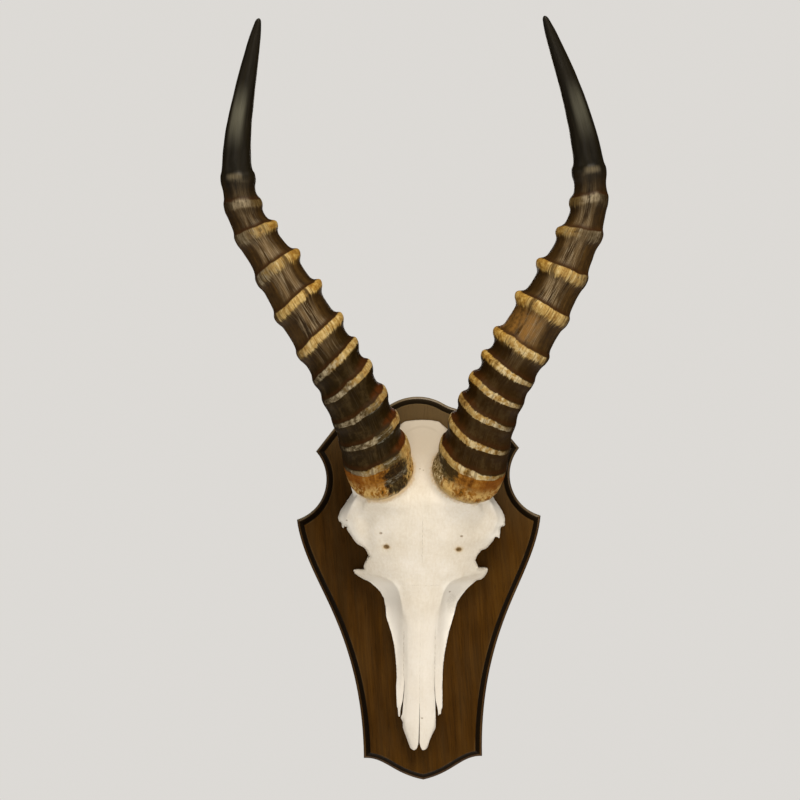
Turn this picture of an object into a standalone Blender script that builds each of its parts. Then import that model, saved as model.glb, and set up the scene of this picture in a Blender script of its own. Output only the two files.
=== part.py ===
"""Blesbok skull trophy: a bleached skull cap with its two ringed horns, on a wooden shield.

The world frame has +Z up. The shield's flat back lies in the plane Y = 0, the origin is in
the middle of that back, and the trophy looks towards -Y. The skull has a frame of its own,
leaning a little from the shield's centre line: across (X), away from the wall (-Y) and up
towards the occiput (Z), with heights counted from the face of the shield.
"""
import math

import bmesh
import bpy
import numpy as np
from mathutils import Matrix, Vector
from mathutils.geometry import interpolate_bezier

MM = 0.001
FIT_GAP = 0.3 * MM

# Shield, half of the outline in millimetres from its middle, going down the +X side
SHIELD_THICKNESS = 18.0 * MM
SHIELD_TOP = 150.0
SHIELD_TIP = -150.0
ARCH_RADIUS = 40.0
ARCH_END_ANGLE = 60.0
SHOULDER_HANDLES = ((32.0, 136.5), (50.0, 139.0))
SHOULDER_END = (62.0, 130.2)
HOLLOW_CENTRE = (105.2, 87.0)
HOLLOW_RADIUS = 33.4
HOLLOW_ANGLES = (140.0, 253.0)
FLANK_HANDLES = ((93.5, 35.0), (82.5, 13.0))
FLANK_MIDDLE = (74.3, -5.0)
WAIST_HANDLES = ((60.0, -36.0), (46.0, -75.0))
FOOT_CORNER = (46.3, -132.3)
FOOT_HANDLES = ((30.0, -131.5), (24.0, -145.0))

# Moulded edge: how far in from the outline, and how high above the back
EDGE_HEIGHT = 10.0 * MM
MOULDING_STEPS = ((0.9, 10.9), (2.2, 11.2), (3.9, 12.6), (5.1, 15.4), (5.5, 17.2), (6.5, 18.0))

# Keyhole slot routed in the shield's back, for a screw head in the wall
KEYHOLE_HEIGHT = 112.0 * MM
KEYHOLE_HEAD_RADIUS = 5.0 * MM
KEYHOLE_NECK_WIDTH = 4.8 * MM
KEYHOLE_TRAVEL = 13.0 * MM
KEYHOLE_DEPTH = 9.0 * MM
KEYHOLE_LIP = 3.2 * MM

# Screws that hold the skull from behind
SCREW_HEIGHTS = {"screw_upper": 80.0 * MM, "screw_lower": 30.0 * MM}
SCREW_SHANK_RADIUS = 2.0 * MM
SCREW_HEAD_RADIUS = 4.0 * MM
SCREW_HEAD_DEPTH = 3.0 * MM
SCREW_RIM = 0.4 * MM
SCREW_POINT = 4.0 * MM
SCREW_SUNK = 0.8 * MM
SCREW_LENGTH = 32.0 * MM
SCREW_SLOT = (1.2 * MM, 10.0 * MM, 1.6 * MM)
ROUND_SIDES = 16

# Skull frame on the shield
SKULL_LEAN = math.radians(1.6)
SKULL_OFFSET = 0.5 * MM

# Skull outline seen from the front: (height along the skull, half width), in millimetres
SKULL_OUTLINE = (
    (132.3, 16.8), (131.0, 18.6), (123.5, 23.5), (100.0, 38.9), (77.5, 53.8), (66.5, 58.8),
    (61.0, 62.8), (57.5, 63.9), (53.0, 62.8), (50.4, 60.6), (48.0, 59.4), (42.5, 56.8),
    (38.5, 54.0), (35.0, 50.2), (31.0, 43.6), (28.5, 41.4), (26.4, 40.6), (22.5, 43.0),
    (18.3, 44.4), (17.2, 50.6), (15.5, 51.8), (12.8, 50.0), (10.5, 47.4), (8.2, 41.2),
    (4.5, 37.6), (0.5, 33.4), (-5.0, 29.8), (-12.0, 27.0), (-20.0, 25.7), (-28.0, 23.6),
    (-37.0, 21.1), (-46.0, 19.2), (-55.0, 18.0), (-65.0, 17.4), (-75.0, 17.3), (-84.0, 17.6),
    (-90.0, 17.0), (-94.6, 15.6), (-95.4, 12.7), (-101.0, 12.5), (-107.0, 12.1), (-111.5, 10.7),
    (-114.5, 9.0), (-118.0, 7.6), (-121.0, 6.0), (-122.6, 4.2))

# Height of the bone above the shield along the middle, (height along the skull, height)
SKULL_CROWN = (
    (-123, 12.5), (-110, 16), (-85, 20), (-50, 24.5), (-20, 28.5), (5, 33.5), (28, 40), (45, 45),
    (60, 48.5), (71, 49.5), (80, 46.5), (94, 37.5), (110, 26.5), (123, 17.5), (132.3, 12.5))
# Half width of the roof, before the bone turns down into its side walls
SKULL_ROOF = (
    (-123, 4.0), (-115, 8), (-107, 10.5), (-90, 12.2), (-50, 12.0), (-30, 13.0), (-14, 14.4), (0, 17.2),
    (6, 20.0), (10, 24.0), (12.4, 33.0), (14.2, 46.0), (17, 44.5), (26, 36.0), (34, 41.5), (44, 48.5),
    (56, 52.5), (66, 50.0), (78, 46.0), (94, 43.0), (108, 33.0), (123, 19.0), (132.3, 14.0))
# Fall of the roof from the middle to its edges
SKULL_SAG = (
    (-123, 1.5), (-90, 2.8), (-50, 3.2), (-14, 4.0), (5, 7.0), (13, 15.0), (26, 10.0), (44, 11.0),
    (58, 11.5), (72, 5.0), (94, 1.0), (110, 1.5), (132.3, 2.0))
# Height of the bone at its outline
SKULL_EDGE = (
    (-123, 9.0), (-107, 10.0), (-96, 11.5), (-92, 6.0), (-60, 5.0), (-20, 4.0), (0, 4.0), (8, 6.5),
    (12.5, 12.0), (16, 15.0), (19, 19.0), (26, 25.0), (34, 26.0), (44, 24.0), (55, 19.0), (62, 10.0),
    (72, 5.0), (100, 4.0), (124, 6.0), (132.3, 8.0))
# Curve of the side walls: above 1 they are hollow, below 1 they bulge
SKULL_WALL = (
    (-123, 1.0), (-60, 1.3), (-20, 1.8), (5, 1.7), (14, 1.2), (24, 0.9), (60, 0.8), (80, 0.9), (132.3, 1.0))
NASAL_TIP_THICKNESS = 5.0
NASAL_TIP_START = -95.0

BROW_GROOVE = {"across": 41.5, "up": 54.0, "half_length": 19.0, "half_width": 4.2, "depth": 2.2}
BROW_RIDGE = {"across": 51.0, "up": 50.0, "half_length": 13.0, "half_width": 5.0, "depth": -1.8}
HORN_SWELL = {"across": 30.0, "up": 72.0, "half_length": 11.0, "half_width": 15.0, "depth": -6.5}

ORBIT = {"across": 61.0, "up": 37.0, "out": 5.0, "radii": (27.0, 14.5, 16.0), "turn": 8.0}
NASAL_CAVITY = {"up": -97.0, "radii": (10.0, 11.0, 62.0)}
# Slits beside and between the nasal bones: corners (across, up)
SIDE_SLITS = {
    "left": ((-12.1, -64.0), (-13.0, -86.0), (-12.9, -100.0), (-15.6, -100.0), (-14.2, -88.0)),
    "right": ((10.9, -64.0), (12.6, -86.0), (14.6, -97.0), (12.2, -100.0), (11.9, -86.0))}
NASAL_SLIT = ((-0.2, -88.0), (-0.9, -117.0), (-3.2, -125.0), (3.0, -125.0), (0.1, -117.0))
SLIT_DEPTH = 40.0 * MM

# Horn axes from the shield's middle, in millimetres: base to tip
HORN_AXES = {
    "left": ((-29.4, -56.5, 93.6), (-36, -73, 127), (-51, -88, 162), (-71, -98, 195), (-101, -109, 246),
             (-125.7, -117.5, 294), (-128.4, -121.5, 314), (-127, -127, 341), (-121, -134, 369),
             (-107.5, -150, 422)),
    "right": ((35.6, -56.5, 90.6), (44.5, -73, 123), (58.5, -87, 155), (77.5, -98, 188), (108, -109, 240),
              (127.3, -117.5, 290), (124.5, -126, 331), (118.5, -132, 355), (94.5, -151, 420))}
# Radius over the ring crests, (distance along the axis, radius)
HORN_RADIUS = (
    (0, 26.0), (18, 24.4), (38, 23.2), (60, 22.0), (90, 21.2), (118, 22.0), (150, 21.5), (180, 19.3),
    (210, 16.5), (236, 14.1), (258, 12.4), (284, 10.8), (312, 8.8), (345, 6.0), (366, 3.7), (376, 1.7))
HORN_LENGTH = 376.0
# Rings from the base: (distance along the axis, degrees by which the inner side is higher)
HORN_RINGS = {
    "left": ((0, 1), (18, 10), (38, 9), (59, 9), (81, 12), (100, 13), (123, 12), (154, 10), (184, 7),
             (214, -6), (237, -8), (257, 0)),
    "right": ((0, 1), (18, 10), (38, 9), (57, 6), (76, 4), (95, 3), (115.5, 2), (147.5, -1), (179, -3),
              (210, -10), (236, -8), (257, 0))}
# How far the rings stand out on the front inner side, (distance along the axis, height)
RING_HEIGHT = ((0, 2.2), (40, 3.6), (70, 4.2), (180, 4.4), (215, 3.2), (240, 2.0), (262, 1.0), (376, 1.0))
# A ring is lower on the front of the horn than square to the axis, in degrees
RING_DROP = ((0, 22), (18, 9), (40, 3), (62, 0), (376, 0))
# A ring's foot, crest and foot, as distances along the axis from its middle, base side first
RING_BEAD = (-8.5, -3.0, 3.0, 7.2)
# Rings stand out by less on the back outer side
RING_FACING = math.radians(40.0)
RING_FACING_SHARE = 0.3
AXIS_SAMPLES = 600
AXIS_REACH = 2.0
HORN_SIDES = 18
TIP_STATIONS = 7
# Seats cut into the bone for the horns, and the bone under them
SEAT_CLEARANCE = 1.5
SEAT_HEIGHT = 45.0
SEAT_FLARE = 1.1
PEDICLE_RADIUS = 21.0 * MM
PEDICLE_LENGTH = 28.0 * MM
PEDICLE_OVERLAP = 2.0 * MM

# Sections of the skull: points over the bone, drawn a little towards its edges
SKULL_ACROSS_POINTS = 17
SKULL_EVEN_SHARE = 0.65
UNDERSIDE_STRIDE = 4
SKULL_STEP = 7.0
ROOF_LIMIT = 0.96
ROOF_POWER = 2.2

COLOURS = {
    "shield": ((0.055, 0.026, 0.012), 0.38, 0.0),
    "skull": ((0.80, 0.74, 0.64), 0.75, 0.0),
    "horn": ((0.070, 0.042, 0.022), 0.42, 0.0),
    "screw": ((0.62, 0.58, 0.48), 0.35, 1.0)}


def clear_scene():
    for item in list(bpy.data.objects):
        bpy.data.objects.remove(item, do_unlink=True)


def new_collection(name):
    collection = bpy.data.collections.new(name)
    bpy.context.scene.collection.children.link(collection)
    return collection


def new_material(name):
    colour, roughness, metallic = COLOURS[name]
    material = bpy.data.materials.new(name)
    material.use_nodes = True
    shader = material.node_tree.nodes["Principled BSDF"]
    shader.inputs["Base Color"].default_value = (*colour, 1.0)
    shader.inputs["Roughness"].default_value = roughness
    shader.inputs["Metallic"].default_value = metallic
    return material


def place(item, collection, material=None):
    """Keeps an object in one collection only, with one material."""
    for other in list(item.users_collection):
        other.objects.unlink(item)
    collection.objects.link(item)
    if material is not None:
        item.data.materials.clear()
        item.data.materials.append(material)
    return item


def object_from_bmesh(bm, name, collection, material=None):
    bmesh.ops.recalc_face_normals(bm, faces=bm.faces)
    mesh = bpy.data.meshes.new(name)
    bm.to_mesh(mesh)
    bm.free()
    item = bpy.data.objects.new(name, mesh)
    return place(item, collection, material)


def shade_round(item, angle):
    item.data.shade_smooth()
    item.data.set_sharp_from_angle(angle=math.radians(angle))


def as_cutter(item, cutters, parent=None):
    place(item, cutters)
    item.hide_render = True
    item.display_type = "WIRE"
    item.parent = parent
    return item


def boolean(target, other, operation):
    modifier = target.modifiers.new(f"{operation.lower()} {other.name}", "BOOLEAN")
    modifier.operation = operation
    modifier.solver = "EXACT"
    modifier.object = other


def smooth_curve(knots, where):
    """Reads a smooth curve through knots (place, value) at the places asked for."""
    places = np.array([knot[0] for knot in knots], float)
    values = np.array([knot[1] for knot in knots], float)
    slopes = np.gradient(values, places, axis=0)
    where = np.clip(np.asarray(where, float), places[0], places[-1])
    left = np.clip(np.searchsorted(places, where) - 1, 0, len(places) - 2)
    span = places[left + 1] - places[left]
    t = (where - places[left]) / span
    if values.ndim > 1:
        t, span = t[..., None], span[..., None]
    start = (1 + 2 * t) * (1 - t) ** 2 * values[left] + t * (1 - t) ** 2 * span * slopes[left]
    end = t ** 2 * (3 - 2 * t) * values[left + 1] + t ** 2 * (t - 1) * span * slopes[left + 1]
    return start + end


def loft(bm, sections):
    """Joins closed sections of equal count one after another, with flat ends."""
    rings = [[bm.verts.new(point) for point in section] for section in sections]
    count = len(rings[0])
    for lower, upper in zip(rings, rings[1:]):
        for i in range(count):
            j = (i + 1) % count
            bm.faces.new((lower[i], lower[j], upper[j], upper[i]))
    bm.faces.new(rings[0][::-1])
    bm.faces.new(rings[-1])


def arc(centre, radius, start, end, count):
    """Points on an arc from a start angle to an end angle, in degrees."""
    angles = np.radians(np.linspace(start, end, count))
    return [(centre[0] + radius * math.cos(a), centre[1] + radius * math.sin(a)) for a in angles]


def bezier(start, handles, end, count):
    corners = [Vector((*point, 0.0)) for point in (start, *handles, end)]
    return [(point.x, point.y) for point in interpolate_bezier(*corners, count)]


def shield_half_outline():
    """The +X half of the outline, from the top of the arch to the tip at the foot."""
    points = arc((0.0, SHIELD_TOP - ARCH_RADIUS), ARCH_RADIUS, 90.0, ARCH_END_ANGLE, 4)
    points += bezier(points[-1], SHOULDER_HANDLES, SHOULDER_END, 8)[1:]
    hollow = arc(HOLLOW_CENTRE, HOLLOW_RADIUS, *HOLLOW_ANGLES, 11)
    points += hollow
    points += bezier(hollow[-1], FLANK_HANDLES, FLANK_MIDDLE, 6)[1:]
    points += bezier(FLANK_MIDDLE, WAIST_HANDLES, FOOT_CORNER, 8)[1:]
    points += bezier(FOOT_CORNER, FOOT_HANDLES, (0.0, SHIELD_TIP), 7)[1:]
    return points


def make_shield(collection, cutters, material):
    """A flat outline with thickness, whose front face is stepped in to form the moulding."""
    right = shield_half_outline()
    left = [(-x, z) for x, z in right[1:-1]][::-1]
    outline = right + left
    curve = bpy.data.curves.new("shield_outline", "CURVE")
    curve.dimensions = "2D"
    curve.fill_mode = "BOTH"
    curve.extrude = EDGE_HEIGHT / 2
    spline = curve.splines.new("POLY")
    spline.points.add(len(outline) - 1)
    for point, (x, z) in zip(spline.points, outline):
        point.co = (x * MM, z * MM, 0.0, 1.0)
    spline.use_cyclic_u = True
    blank = place(bpy.data.objects.new("shield_outline", curve), collection)
    depsgraph = bpy.context.evaluated_depsgraph_get()
    mesh = bpy.data.meshes.new_from_object(blank.evaluated_get(depsgraph))
    bpy.data.objects.remove(blank)

    bm = bmesh.new()
    bm.from_mesh(mesh)
    bpy.data.meshes.remove(mesh)
    bmesh.ops.remove_doubles(bm, verts=bm.verts, dist=0.00001)
    bmesh.ops.translate(bm, verts=bm.verts, vec=(0.0, 0.0, EDGE_HEIGHT / 2))
    bmesh.ops.recalc_face_normals(bm, faces=bm.faces)
    front = [face for face in bm.faces if face.normal.z > 0.9]
    inset, height = 0.0, EDGE_HEIGHT
    for step_in, step_up in MOULDING_STEPS:
        bmesh.ops.inset_region(
            bm, faces=front, thickness=step_in * MM - inset, depth=step_up * MM - height,
            use_boundary=True, use_even_offset=True)
        inset, height = step_in * MM, step_up * MM
    bm.transform(Matrix.Rotation(math.radians(90.0), 4, "X"))
    shield = object_from_bmesh(bm, "shield", collection, material)
    shade_round(shield, 30.0)
    boolean(shield, make_keyhole(cutters), "DIFFERENCE")
    return shield


def box(name, size, location):
    bm = bmesh.new()
    bmesh.ops.create_cube(bm, size=1.0)
    bmesh.ops.scale(bm, vec=size, verts=bm.verts)
    bmesh.ops.translate(bm, vec=location, verts=bm.verts)
    mesh = bpy.data.meshes.new(name)
    bm.to_mesh(mesh)
    bm.free()
    return bpy.data.objects.new(name, mesh)


def cylinder(name, radius, length, sides):
    """A cylinder that starts at the origin and runs up local Z."""
    bm = bmesh.new()
    bmesh.ops.create_cone(
        bm, cap_ends=True, segments=sides, radius1=radius, radius2=radius, depth=length)
    bmesh.ops.translate(bm, vec=(0.0, 0.0, length / 2), verts=bm.verts)
    mesh = bpy.data.meshes.new(name)
    bm.to_mesh(mesh)
    bm.free()
    return bpy.data.objects.new(name, mesh)


def make_keyhole(cutters):
    """A round entry, and above it a slot with a narrow neck and a wide undercut."""
    overshoot = 1.0 * MM
    travel_middle = KEYHOLE_HEIGHT + KEYHOLE_TRAVEL / 2
    entry = cylinder("keyhole_entry", KEYHOLE_HEAD_RADIUS, KEYHOLE_DEPTH + overshoot, 24)
    entry.rotation_euler = (math.radians(90.0), 0.0, 0.0)
    entry.location = (0.0, overshoot, KEYHOLE_HEIGHT)
    neck = box("keyhole_neck", (KEYHOLE_NECK_WIDTH, KEYHOLE_LIP + 2 * overshoot, KEYHOLE_TRAVEL),
               (0.0, -KEYHOLE_LIP / 2, travel_middle))
    undercut_depth = KEYHOLE_DEPTH - KEYHOLE_LIP
    undercut = box("keyhole_undercut", (2 * KEYHOLE_HEAD_RADIUS, undercut_depth, KEYHOLE_TRAVEL),
                   (0.0, -KEYHOLE_LIP - undercut_depth / 2, travel_middle))
    for cutter in (entry, neck, undercut):
        as_cutter(cutter, cutters)
    boolean(entry, neck, "UNION")
    boolean(entry, undercut, "UNION")
    return entry


def bump(across, up, spec):
    """A smooth oval hollow, or a swelling where its depth is negative, on both sides."""
    side = (np.abs(across) - spec["across"]) / spec["half_width"]
    along = (up - spec["up"]) / spec["half_length"]
    return -spec["depth"] * np.exp(-side ** 2 - along ** 2)


def bone_height(across, up):
    """Height of the skull's outer surface above the shield's face, in millimetres."""
    half_width = np.interp(up, *zip(*SKULL_OUTLINE[::-1]))
    roof = np.minimum(smooth_curve(SKULL_ROOF, up), ROOF_LIMIT * half_width)
    crown = smooth_curve(SKULL_CROWN, up)
    sag = smooth_curve(SKULL_SAG, up)
    edge = smooth_curve(SKULL_EDGE, up)
    distance = np.abs(across)
    on_roof = crown - sag * np.minimum(distance / roof, 1.0) ** ROOF_POWER
    down_wall = np.clip((distance - roof) / (half_width - roof), 0.0, 1.0)
    share = (1.0 - down_wall) ** smooth_curve(SKULL_WALL, up)
    height = edge + (on_roof - edge) * share
    for spec in (BROW_GROOVE, BROW_RIDGE, HORN_SWELL):
        height = height + bump(across, up, spec) * share
    return height


def skull_levels():
    """Places of the sections along the skull: each outline point, and steps between them."""
    marks = [point[0] for point in SKULL_OUTLINE]
    levels = []
    for upper, lower in zip(marks, marks[1:]):
        steps = max(1, round((upper - lower) / SKULL_STEP))
        levels += list(np.linspace(upper, lower, steps, endpoint=False))
    return levels + [marks[-1]]


def skull_section(up):
    """A closed section: over the bone from the left edge to the right, and back below."""
    half_width = float(np.interp(up, *zip(*SKULL_OUTLINE[::-1])))
    share = np.linspace(-1.0, 1.0, SKULL_ACROSS_POINTS)
    bunched = np.sin(share * math.pi / 2)
    across = half_width * (SKULL_EVEN_SHARE * share + (1.0 - SKULL_EVEN_SHARE) * bunched)
    height = bone_height(across, up)
    below = across[::-UNDERSIDE_STRIDE]
    floor = np.zeros_like(below)
    if up < NASAL_TIP_START:
        floor = np.maximum(bone_height(below, up) - NASAL_TIP_THICKNESS, 1.0)
    top = [(u, -h, up) for u, h in zip(across, height)]
    under = [(u, -h, up) for u, h in zip(below, floor)]
    return [Vector(point) * MM for point in top + under]


def make_skull(collection, cutters, material, horns):
    bm = bmesh.new()
    loft(bm, [skull_section(up) for up in skull_levels()])
    skull = object_from_bmesh(bm, "skull", collection, material)
    skull.location = (SKULL_OFFSET, -SHIELD_THICKNESS - FIT_GAP, 0.0)
    skull.rotation_euler = (0.0, SKULL_LEAN, 0.0)
    shade_round(skull, 40.0)
    for side in horns:
        pedicle, seat = make_seat(side, cutters)
        boolean(skull, pedicle, "UNION")
        boolean(skull, seat, "DIFFERENCE")
    for cutter in (*make_orbits(cutters, skull), make_nasal_cavity(cutters, skull)):
        boolean(skull, cutter, "DIFFERENCE")
    for name, corners in (*SIDE_SLITS.items(), ("middle", NASAL_SLIT)):
        boolean(skull, make_slit(f"slit_{name}", corners, cutters, skull), "DIFFERENCE")
    return skull


def ellipsoid(name, radii, location, cutters, parent):
    bm = bmesh.new()
    bmesh.ops.create_uvsphere(bm, u_segments=18, v_segments=12, radius=1.0)
    bmesh.ops.scale(bm, vec=[radius * MM for radius in radii], verts=bm.verts)
    mesh = bpy.data.meshes.new(name)
    bm.to_mesh(mesh)
    bm.free()
    item = as_cutter(bpy.data.objects.new(name, mesh), cutters, parent)
    item.location = Vector(location) * MM
    return item


def make_orbits(cutters, skull):
    """The eye sockets, open to the sides below the brow."""
    orbits = []
    for name, sign in (("left", -1), ("right", 1)):
        place_on_skull = (sign * ORBIT["across"], -ORBIT["out"], ORBIT["up"])
        orbit = ellipsoid(f"orbit_{name}", ORBIT["radii"], place_on_skull, cutters, skull)
        orbit.rotation_euler = (0.0, math.radians(sign * ORBIT["turn"]), 0.0)
        orbits.append(orbit)
    return orbits


def make_nasal_cavity(cutters, skull):
    """The hollow that opens below the nasal bones."""
    return ellipsoid("nasal_cavity", NASAL_CAVITY["radii"], (0.0, 0.0, NASAL_CAVITY["up"]), cutters, skull)


def make_slit(name, corners, cutters, skull):
    """A flat outline cut right through the bone."""
    bm = bmesh.new()
    verts = [bm.verts.new((x * MM, MM, z * MM)) for x, z in corners]
    face = bm.faces.new(verts)
    swept = bmesh.ops.extrude_face_region(bm, geom=[face])["geom"]
    moved = [item for item in swept if isinstance(item, bmesh.types.BMVert)]
    bmesh.ops.translate(bm, vec=(0.0, -SLIT_DEPTH, 0.0), verts=moved)
    item = object_from_bmesh(bm, name, cutters)
    return as_cutter(item, cutters, skull)


class HornAxis:
    """A smooth line through a horn's middle, read by the distance from its base."""

    def __init__(self, side):
        points = np.array(HORN_AXES[side], float)
        chord = np.concatenate([[0.0], np.cumsum(np.linalg.norm(np.diff(points, axis=0), axis=1))])
        where = np.linspace(0.0, chord[-1], AXIS_SAMPLES)
        self.line = smooth_curve(list(zip(chord, points)), where)
        steps = np.linalg.norm(np.diff(self.line, axis=0), axis=1)
        self.distance = np.concatenate([[0.0], np.cumsum(steps)])
        self.stretch = self.distance[-1] / HORN_LENGTH
        self.inner = 1.0 if side == "left" else -1.0
        self.slants = (*HORN_RINGS[side], (HORN_LENGTH, 0))
        self.rings = [place for place, slant in HORN_RINGS[side]]

    def point(self, distance):
        where = distance * self.stretch
        return np.array([np.interp(where, self.distance, self.line[:, i]) for i in range(3)])

    def frame(self, distance):
        """Direction of the horn, towards its inner side, and towards its front."""
        ahead = self.point(min(distance + AXIS_REACH, HORN_LENGTH))
        behind = self.point(max(distance - AXIS_REACH, 0.0))
        along = (ahead - behind) / np.linalg.norm(ahead - behind)
        inner = np.array((self.inner, 0.0, 0.0))
        inner = inner - inner.dot(along) * along
        inner /= np.linalg.norm(inner)
        front = np.cross(inner, along) * self.inner
        return along, inner, front

    def stations(self):
        """Distances from the base: feet, crest and middle of each ring, then the smooth tip."""
        found = [ring + foot for ring in self.rings for foot in (*RING_BEAD, 0.0)]
        found = sorted(place for place in found if place >= 0.0)
        return found[:-1] + list(np.linspace(found[-1], HORN_LENGTH, TIP_STATIONS + 1))

    def neck_share(self, distance):
        """From 0 on a ring's crest to 1 in a neck, and on the smooth tip."""
        nearest = min(self.rings, key=lambda ring: abs(distance - ring))
        return float(np.interp(distance - nearest, RING_BEAD, (1.0, 0.0, 0.0, 1.0)))


def horn_section(axis, distance):
    along, inner, front = axis.frame(distance)
    slant = math.tan(math.radians(float(smooth_curve(axis.slants, distance))))
    drop = math.tan(math.radians(float(smooth_curve(RING_DROP, distance))))
    radius = float(smooth_curve(HORN_RADIUS, distance))
    depth = axis.neck_share(distance) * float(smooth_curve(RING_HEIGHT, distance))
    middle = axis.point(distance)
    section = []
    for i in range(HORN_SIDES):
        angle = 2 * math.pi * i / HORN_SIDES
        facing = 1.0 - RING_FACING_SHARE * (1.0 - math.cos(angle - RING_FACING))
        reach = radius - depth * facing
        side = (inner + slant * along) * math.cos(angle)
        face = (front - drop * along) * math.sin(angle)
        section.append(Vector(middle + reach * (side + face)) * MM)
    return section


def make_horn(side, collection, material):
    """One ringed horn: sections across its axis, joined from the base to the tip."""
    axis = HornAxis(side)
    bm = bmesh.new()
    loft(bm, [horn_section(axis, distance) for distance in axis.stations()])
    horn = object_from_bmesh(bm, f"horn_{side}", collection, material)
    shade_round(horn, 60.0)
    return horn


def make_seat(side, cutters):
    """The bone under a horn, and the cut that gives the horn its flat seat."""
    axis = HornAxis(side)
    along = Vector(axis.frame(0.0)[0])
    base = horn_section(axis, 0.0)
    middle = sum(base, Vector()) / len(base)
    normal = (base[HORN_SIDES // 4] - middle).cross(base[0] - middle).normalized() * axis.inner
    pedicle = cylinder(f"pedicle_{side}", PEDICLE_RADIUS, PEDICLE_LENGTH, 24)
    pedicle.rotation_euler = normal.to_track_quat("Z", "Y").to_euler()
    pedicle.location = middle - normal * (PEDICLE_LENGTH - PEDICLE_OVERLAP)
    wider = 1.0 + SEAT_CLEARANCE / HORN_RADIUS[0][1]
    floor = [middle + (point - middle) * wider - normal * FIT_GAP for point in base]
    top = [middle + (point - middle) * SEAT_FLARE + along * SEAT_HEIGHT * MM for point in base]
    bm = bmesh.new()
    loft(bm, [floor, top])
    seat = object_from_bmesh(bm, f"seat_{side}", cutters)
    for item in (pedicle, seat):
        as_cutter(item, cutters)
    return pedicle, seat


def screw_profile(grow, above):
    """Outer side of a countersunk screw, head end first, as (radius, distance from the head)."""
    head = SCREW_HEAD_RADIUS + grow
    shank = SCREW_SHANK_RADIUS + grow
    return ((0.0, above), (head, above), (head, -SCREW_RIM), (shank, -SCREW_HEAD_DEPTH),
            (shank, -SCREW_LENGTH + SCREW_POINT), (0.0, -SCREW_LENGTH - grow))


def turned(name, profile):
    """A profile turned about local Z."""
    mesh = bpy.data.meshes.new(name)
    mesh.from_pydata([(radius, 0.0, z) for radius, z in profile],
                     [(i, i + 1) for i in range(len(profile) - 1)], [])
    item = bpy.data.objects.new(name, mesh)
    screw = item.modifiers.new("turn", "SCREW")
    screw.steps = ROUND_SIDES
    screw.render_steps = ROUND_SIDES
    screw.use_merge_vertices = True
    screw.merge_threshold = 0.00001
    return item


def make_screw(name, height, collection, cutters, material, shield, skull):
    """A screw sunk in the shield's back, with its hole through the shield into the skull."""
    screw = turned(name, screw_profile(0.0, 0.0))
    place(screw, collection, material)
    slot = box(f"{name}_slot", SCREW_SLOT, (0.0, 0.0, 0.0))
    as_cutter(slot, cutters, screw)
    boolean(screw, slot, "DIFFERENCE")
    hole = turned(f"{name}_hole", screw_profile(FIT_GAP, 2 * SCREW_SUNK))
    as_cutter(hole, cutters)
    for item in (screw, hole):
        item.rotation_euler = (math.radians(-90.0), 0.0, 0.0)
        item.location = (0.0, -SCREW_SUNK, height)
    boolean(shield, hole, "DIFFERENCE")
    boolean(skull, hole, "DIFFERENCE")
    return screw


def main():
    clear_scene()
    collection = new_collection("skull_trophy")
    cutters = new_collection("cutters")
    materials = {name: new_material(name) for name in COLOURS}
    shield = make_shield(collection, cutters, materials["shield"])
    sides = tuple(HORN_AXES)
    skull = make_skull(collection, cutters, materials["skull"], sides)
    for side in sides:
        make_horn(side, collection, materials["horn"])
    for name, height in SCREW_HEIGHTS.items():
        make_screw(name, height, collection, cutters, materials["screw"], shield, skull)
    base = bpy.data.objects.new("trophy", None)
    collection.objects.link(base)
    for item in list(collection.objects):
        if item is not base and item.parent is None:
            item.parent = base


main()
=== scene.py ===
# %% [markdown]
# # A blesbok skull trophy
#
# The real thing is a bleached skull cap with two ringed horns, screwed to a dark wooden shield.
# Nothing on it is flat or regular except the shield, so most of this lesson is about shapes that
# are written as formulas, and about materials that know where they are on the piece. The packed
# model is loaded first. It gives the frame: every piece made here stands exactly where its solid
# stands, in metres, with the flat back of the shield on the plane y = 0.

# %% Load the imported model
import math
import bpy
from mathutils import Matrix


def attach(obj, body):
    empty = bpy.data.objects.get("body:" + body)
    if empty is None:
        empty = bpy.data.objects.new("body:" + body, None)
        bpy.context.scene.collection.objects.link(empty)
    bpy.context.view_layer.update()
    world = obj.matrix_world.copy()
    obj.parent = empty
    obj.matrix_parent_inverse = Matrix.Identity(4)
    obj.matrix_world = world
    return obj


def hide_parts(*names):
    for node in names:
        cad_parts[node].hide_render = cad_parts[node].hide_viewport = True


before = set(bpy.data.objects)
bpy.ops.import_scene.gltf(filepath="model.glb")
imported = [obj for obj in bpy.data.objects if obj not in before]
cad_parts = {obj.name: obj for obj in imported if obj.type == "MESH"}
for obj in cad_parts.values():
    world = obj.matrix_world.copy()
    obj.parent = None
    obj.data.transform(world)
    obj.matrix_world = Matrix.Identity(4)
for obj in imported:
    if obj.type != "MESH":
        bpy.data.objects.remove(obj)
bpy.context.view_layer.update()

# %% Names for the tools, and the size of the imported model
from types import SimpleNamespace

import bmesh
import bpy
import numpy as np
from mathutils import Matrix, Vector, noise

MM = 0.001


print("nodes:", sorted(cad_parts))

# %% [markdown]
# ## The camera and the studio
#
# The trophy was photographed from straight ahead and from a little over a metre and a half away,
# with the camera turned by one degree. A camera is easiest to place with a matrix: it looks along
# its own -Z, so it is stood upright first and then rolled. The lens follows from the size of a
# pixel on the shield's back, 0.788 mm at 1600 mm, over 800 pixels.

# %% Camera at the photograph's place
VIEW_DISTANCE = 1600 * MM
CAMERA_ACROSS = -13.1 * MM
CAMERA_UP = 147.6 * MM
CAMERA_ROLL = math.radians(-1.0)
PIXEL = 0.788 * MM
FRAME_WIDTH = 800
SENSOR_WIDTH = 36.0


def place_in_scene(name, data):
    """Makes an object with this mesh, lamp or camera and puts it into the scene."""
    item = bpy.data.objects.new(name, data)
    bpy.context.scene.collection.objects.link(item)
    return item


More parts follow.
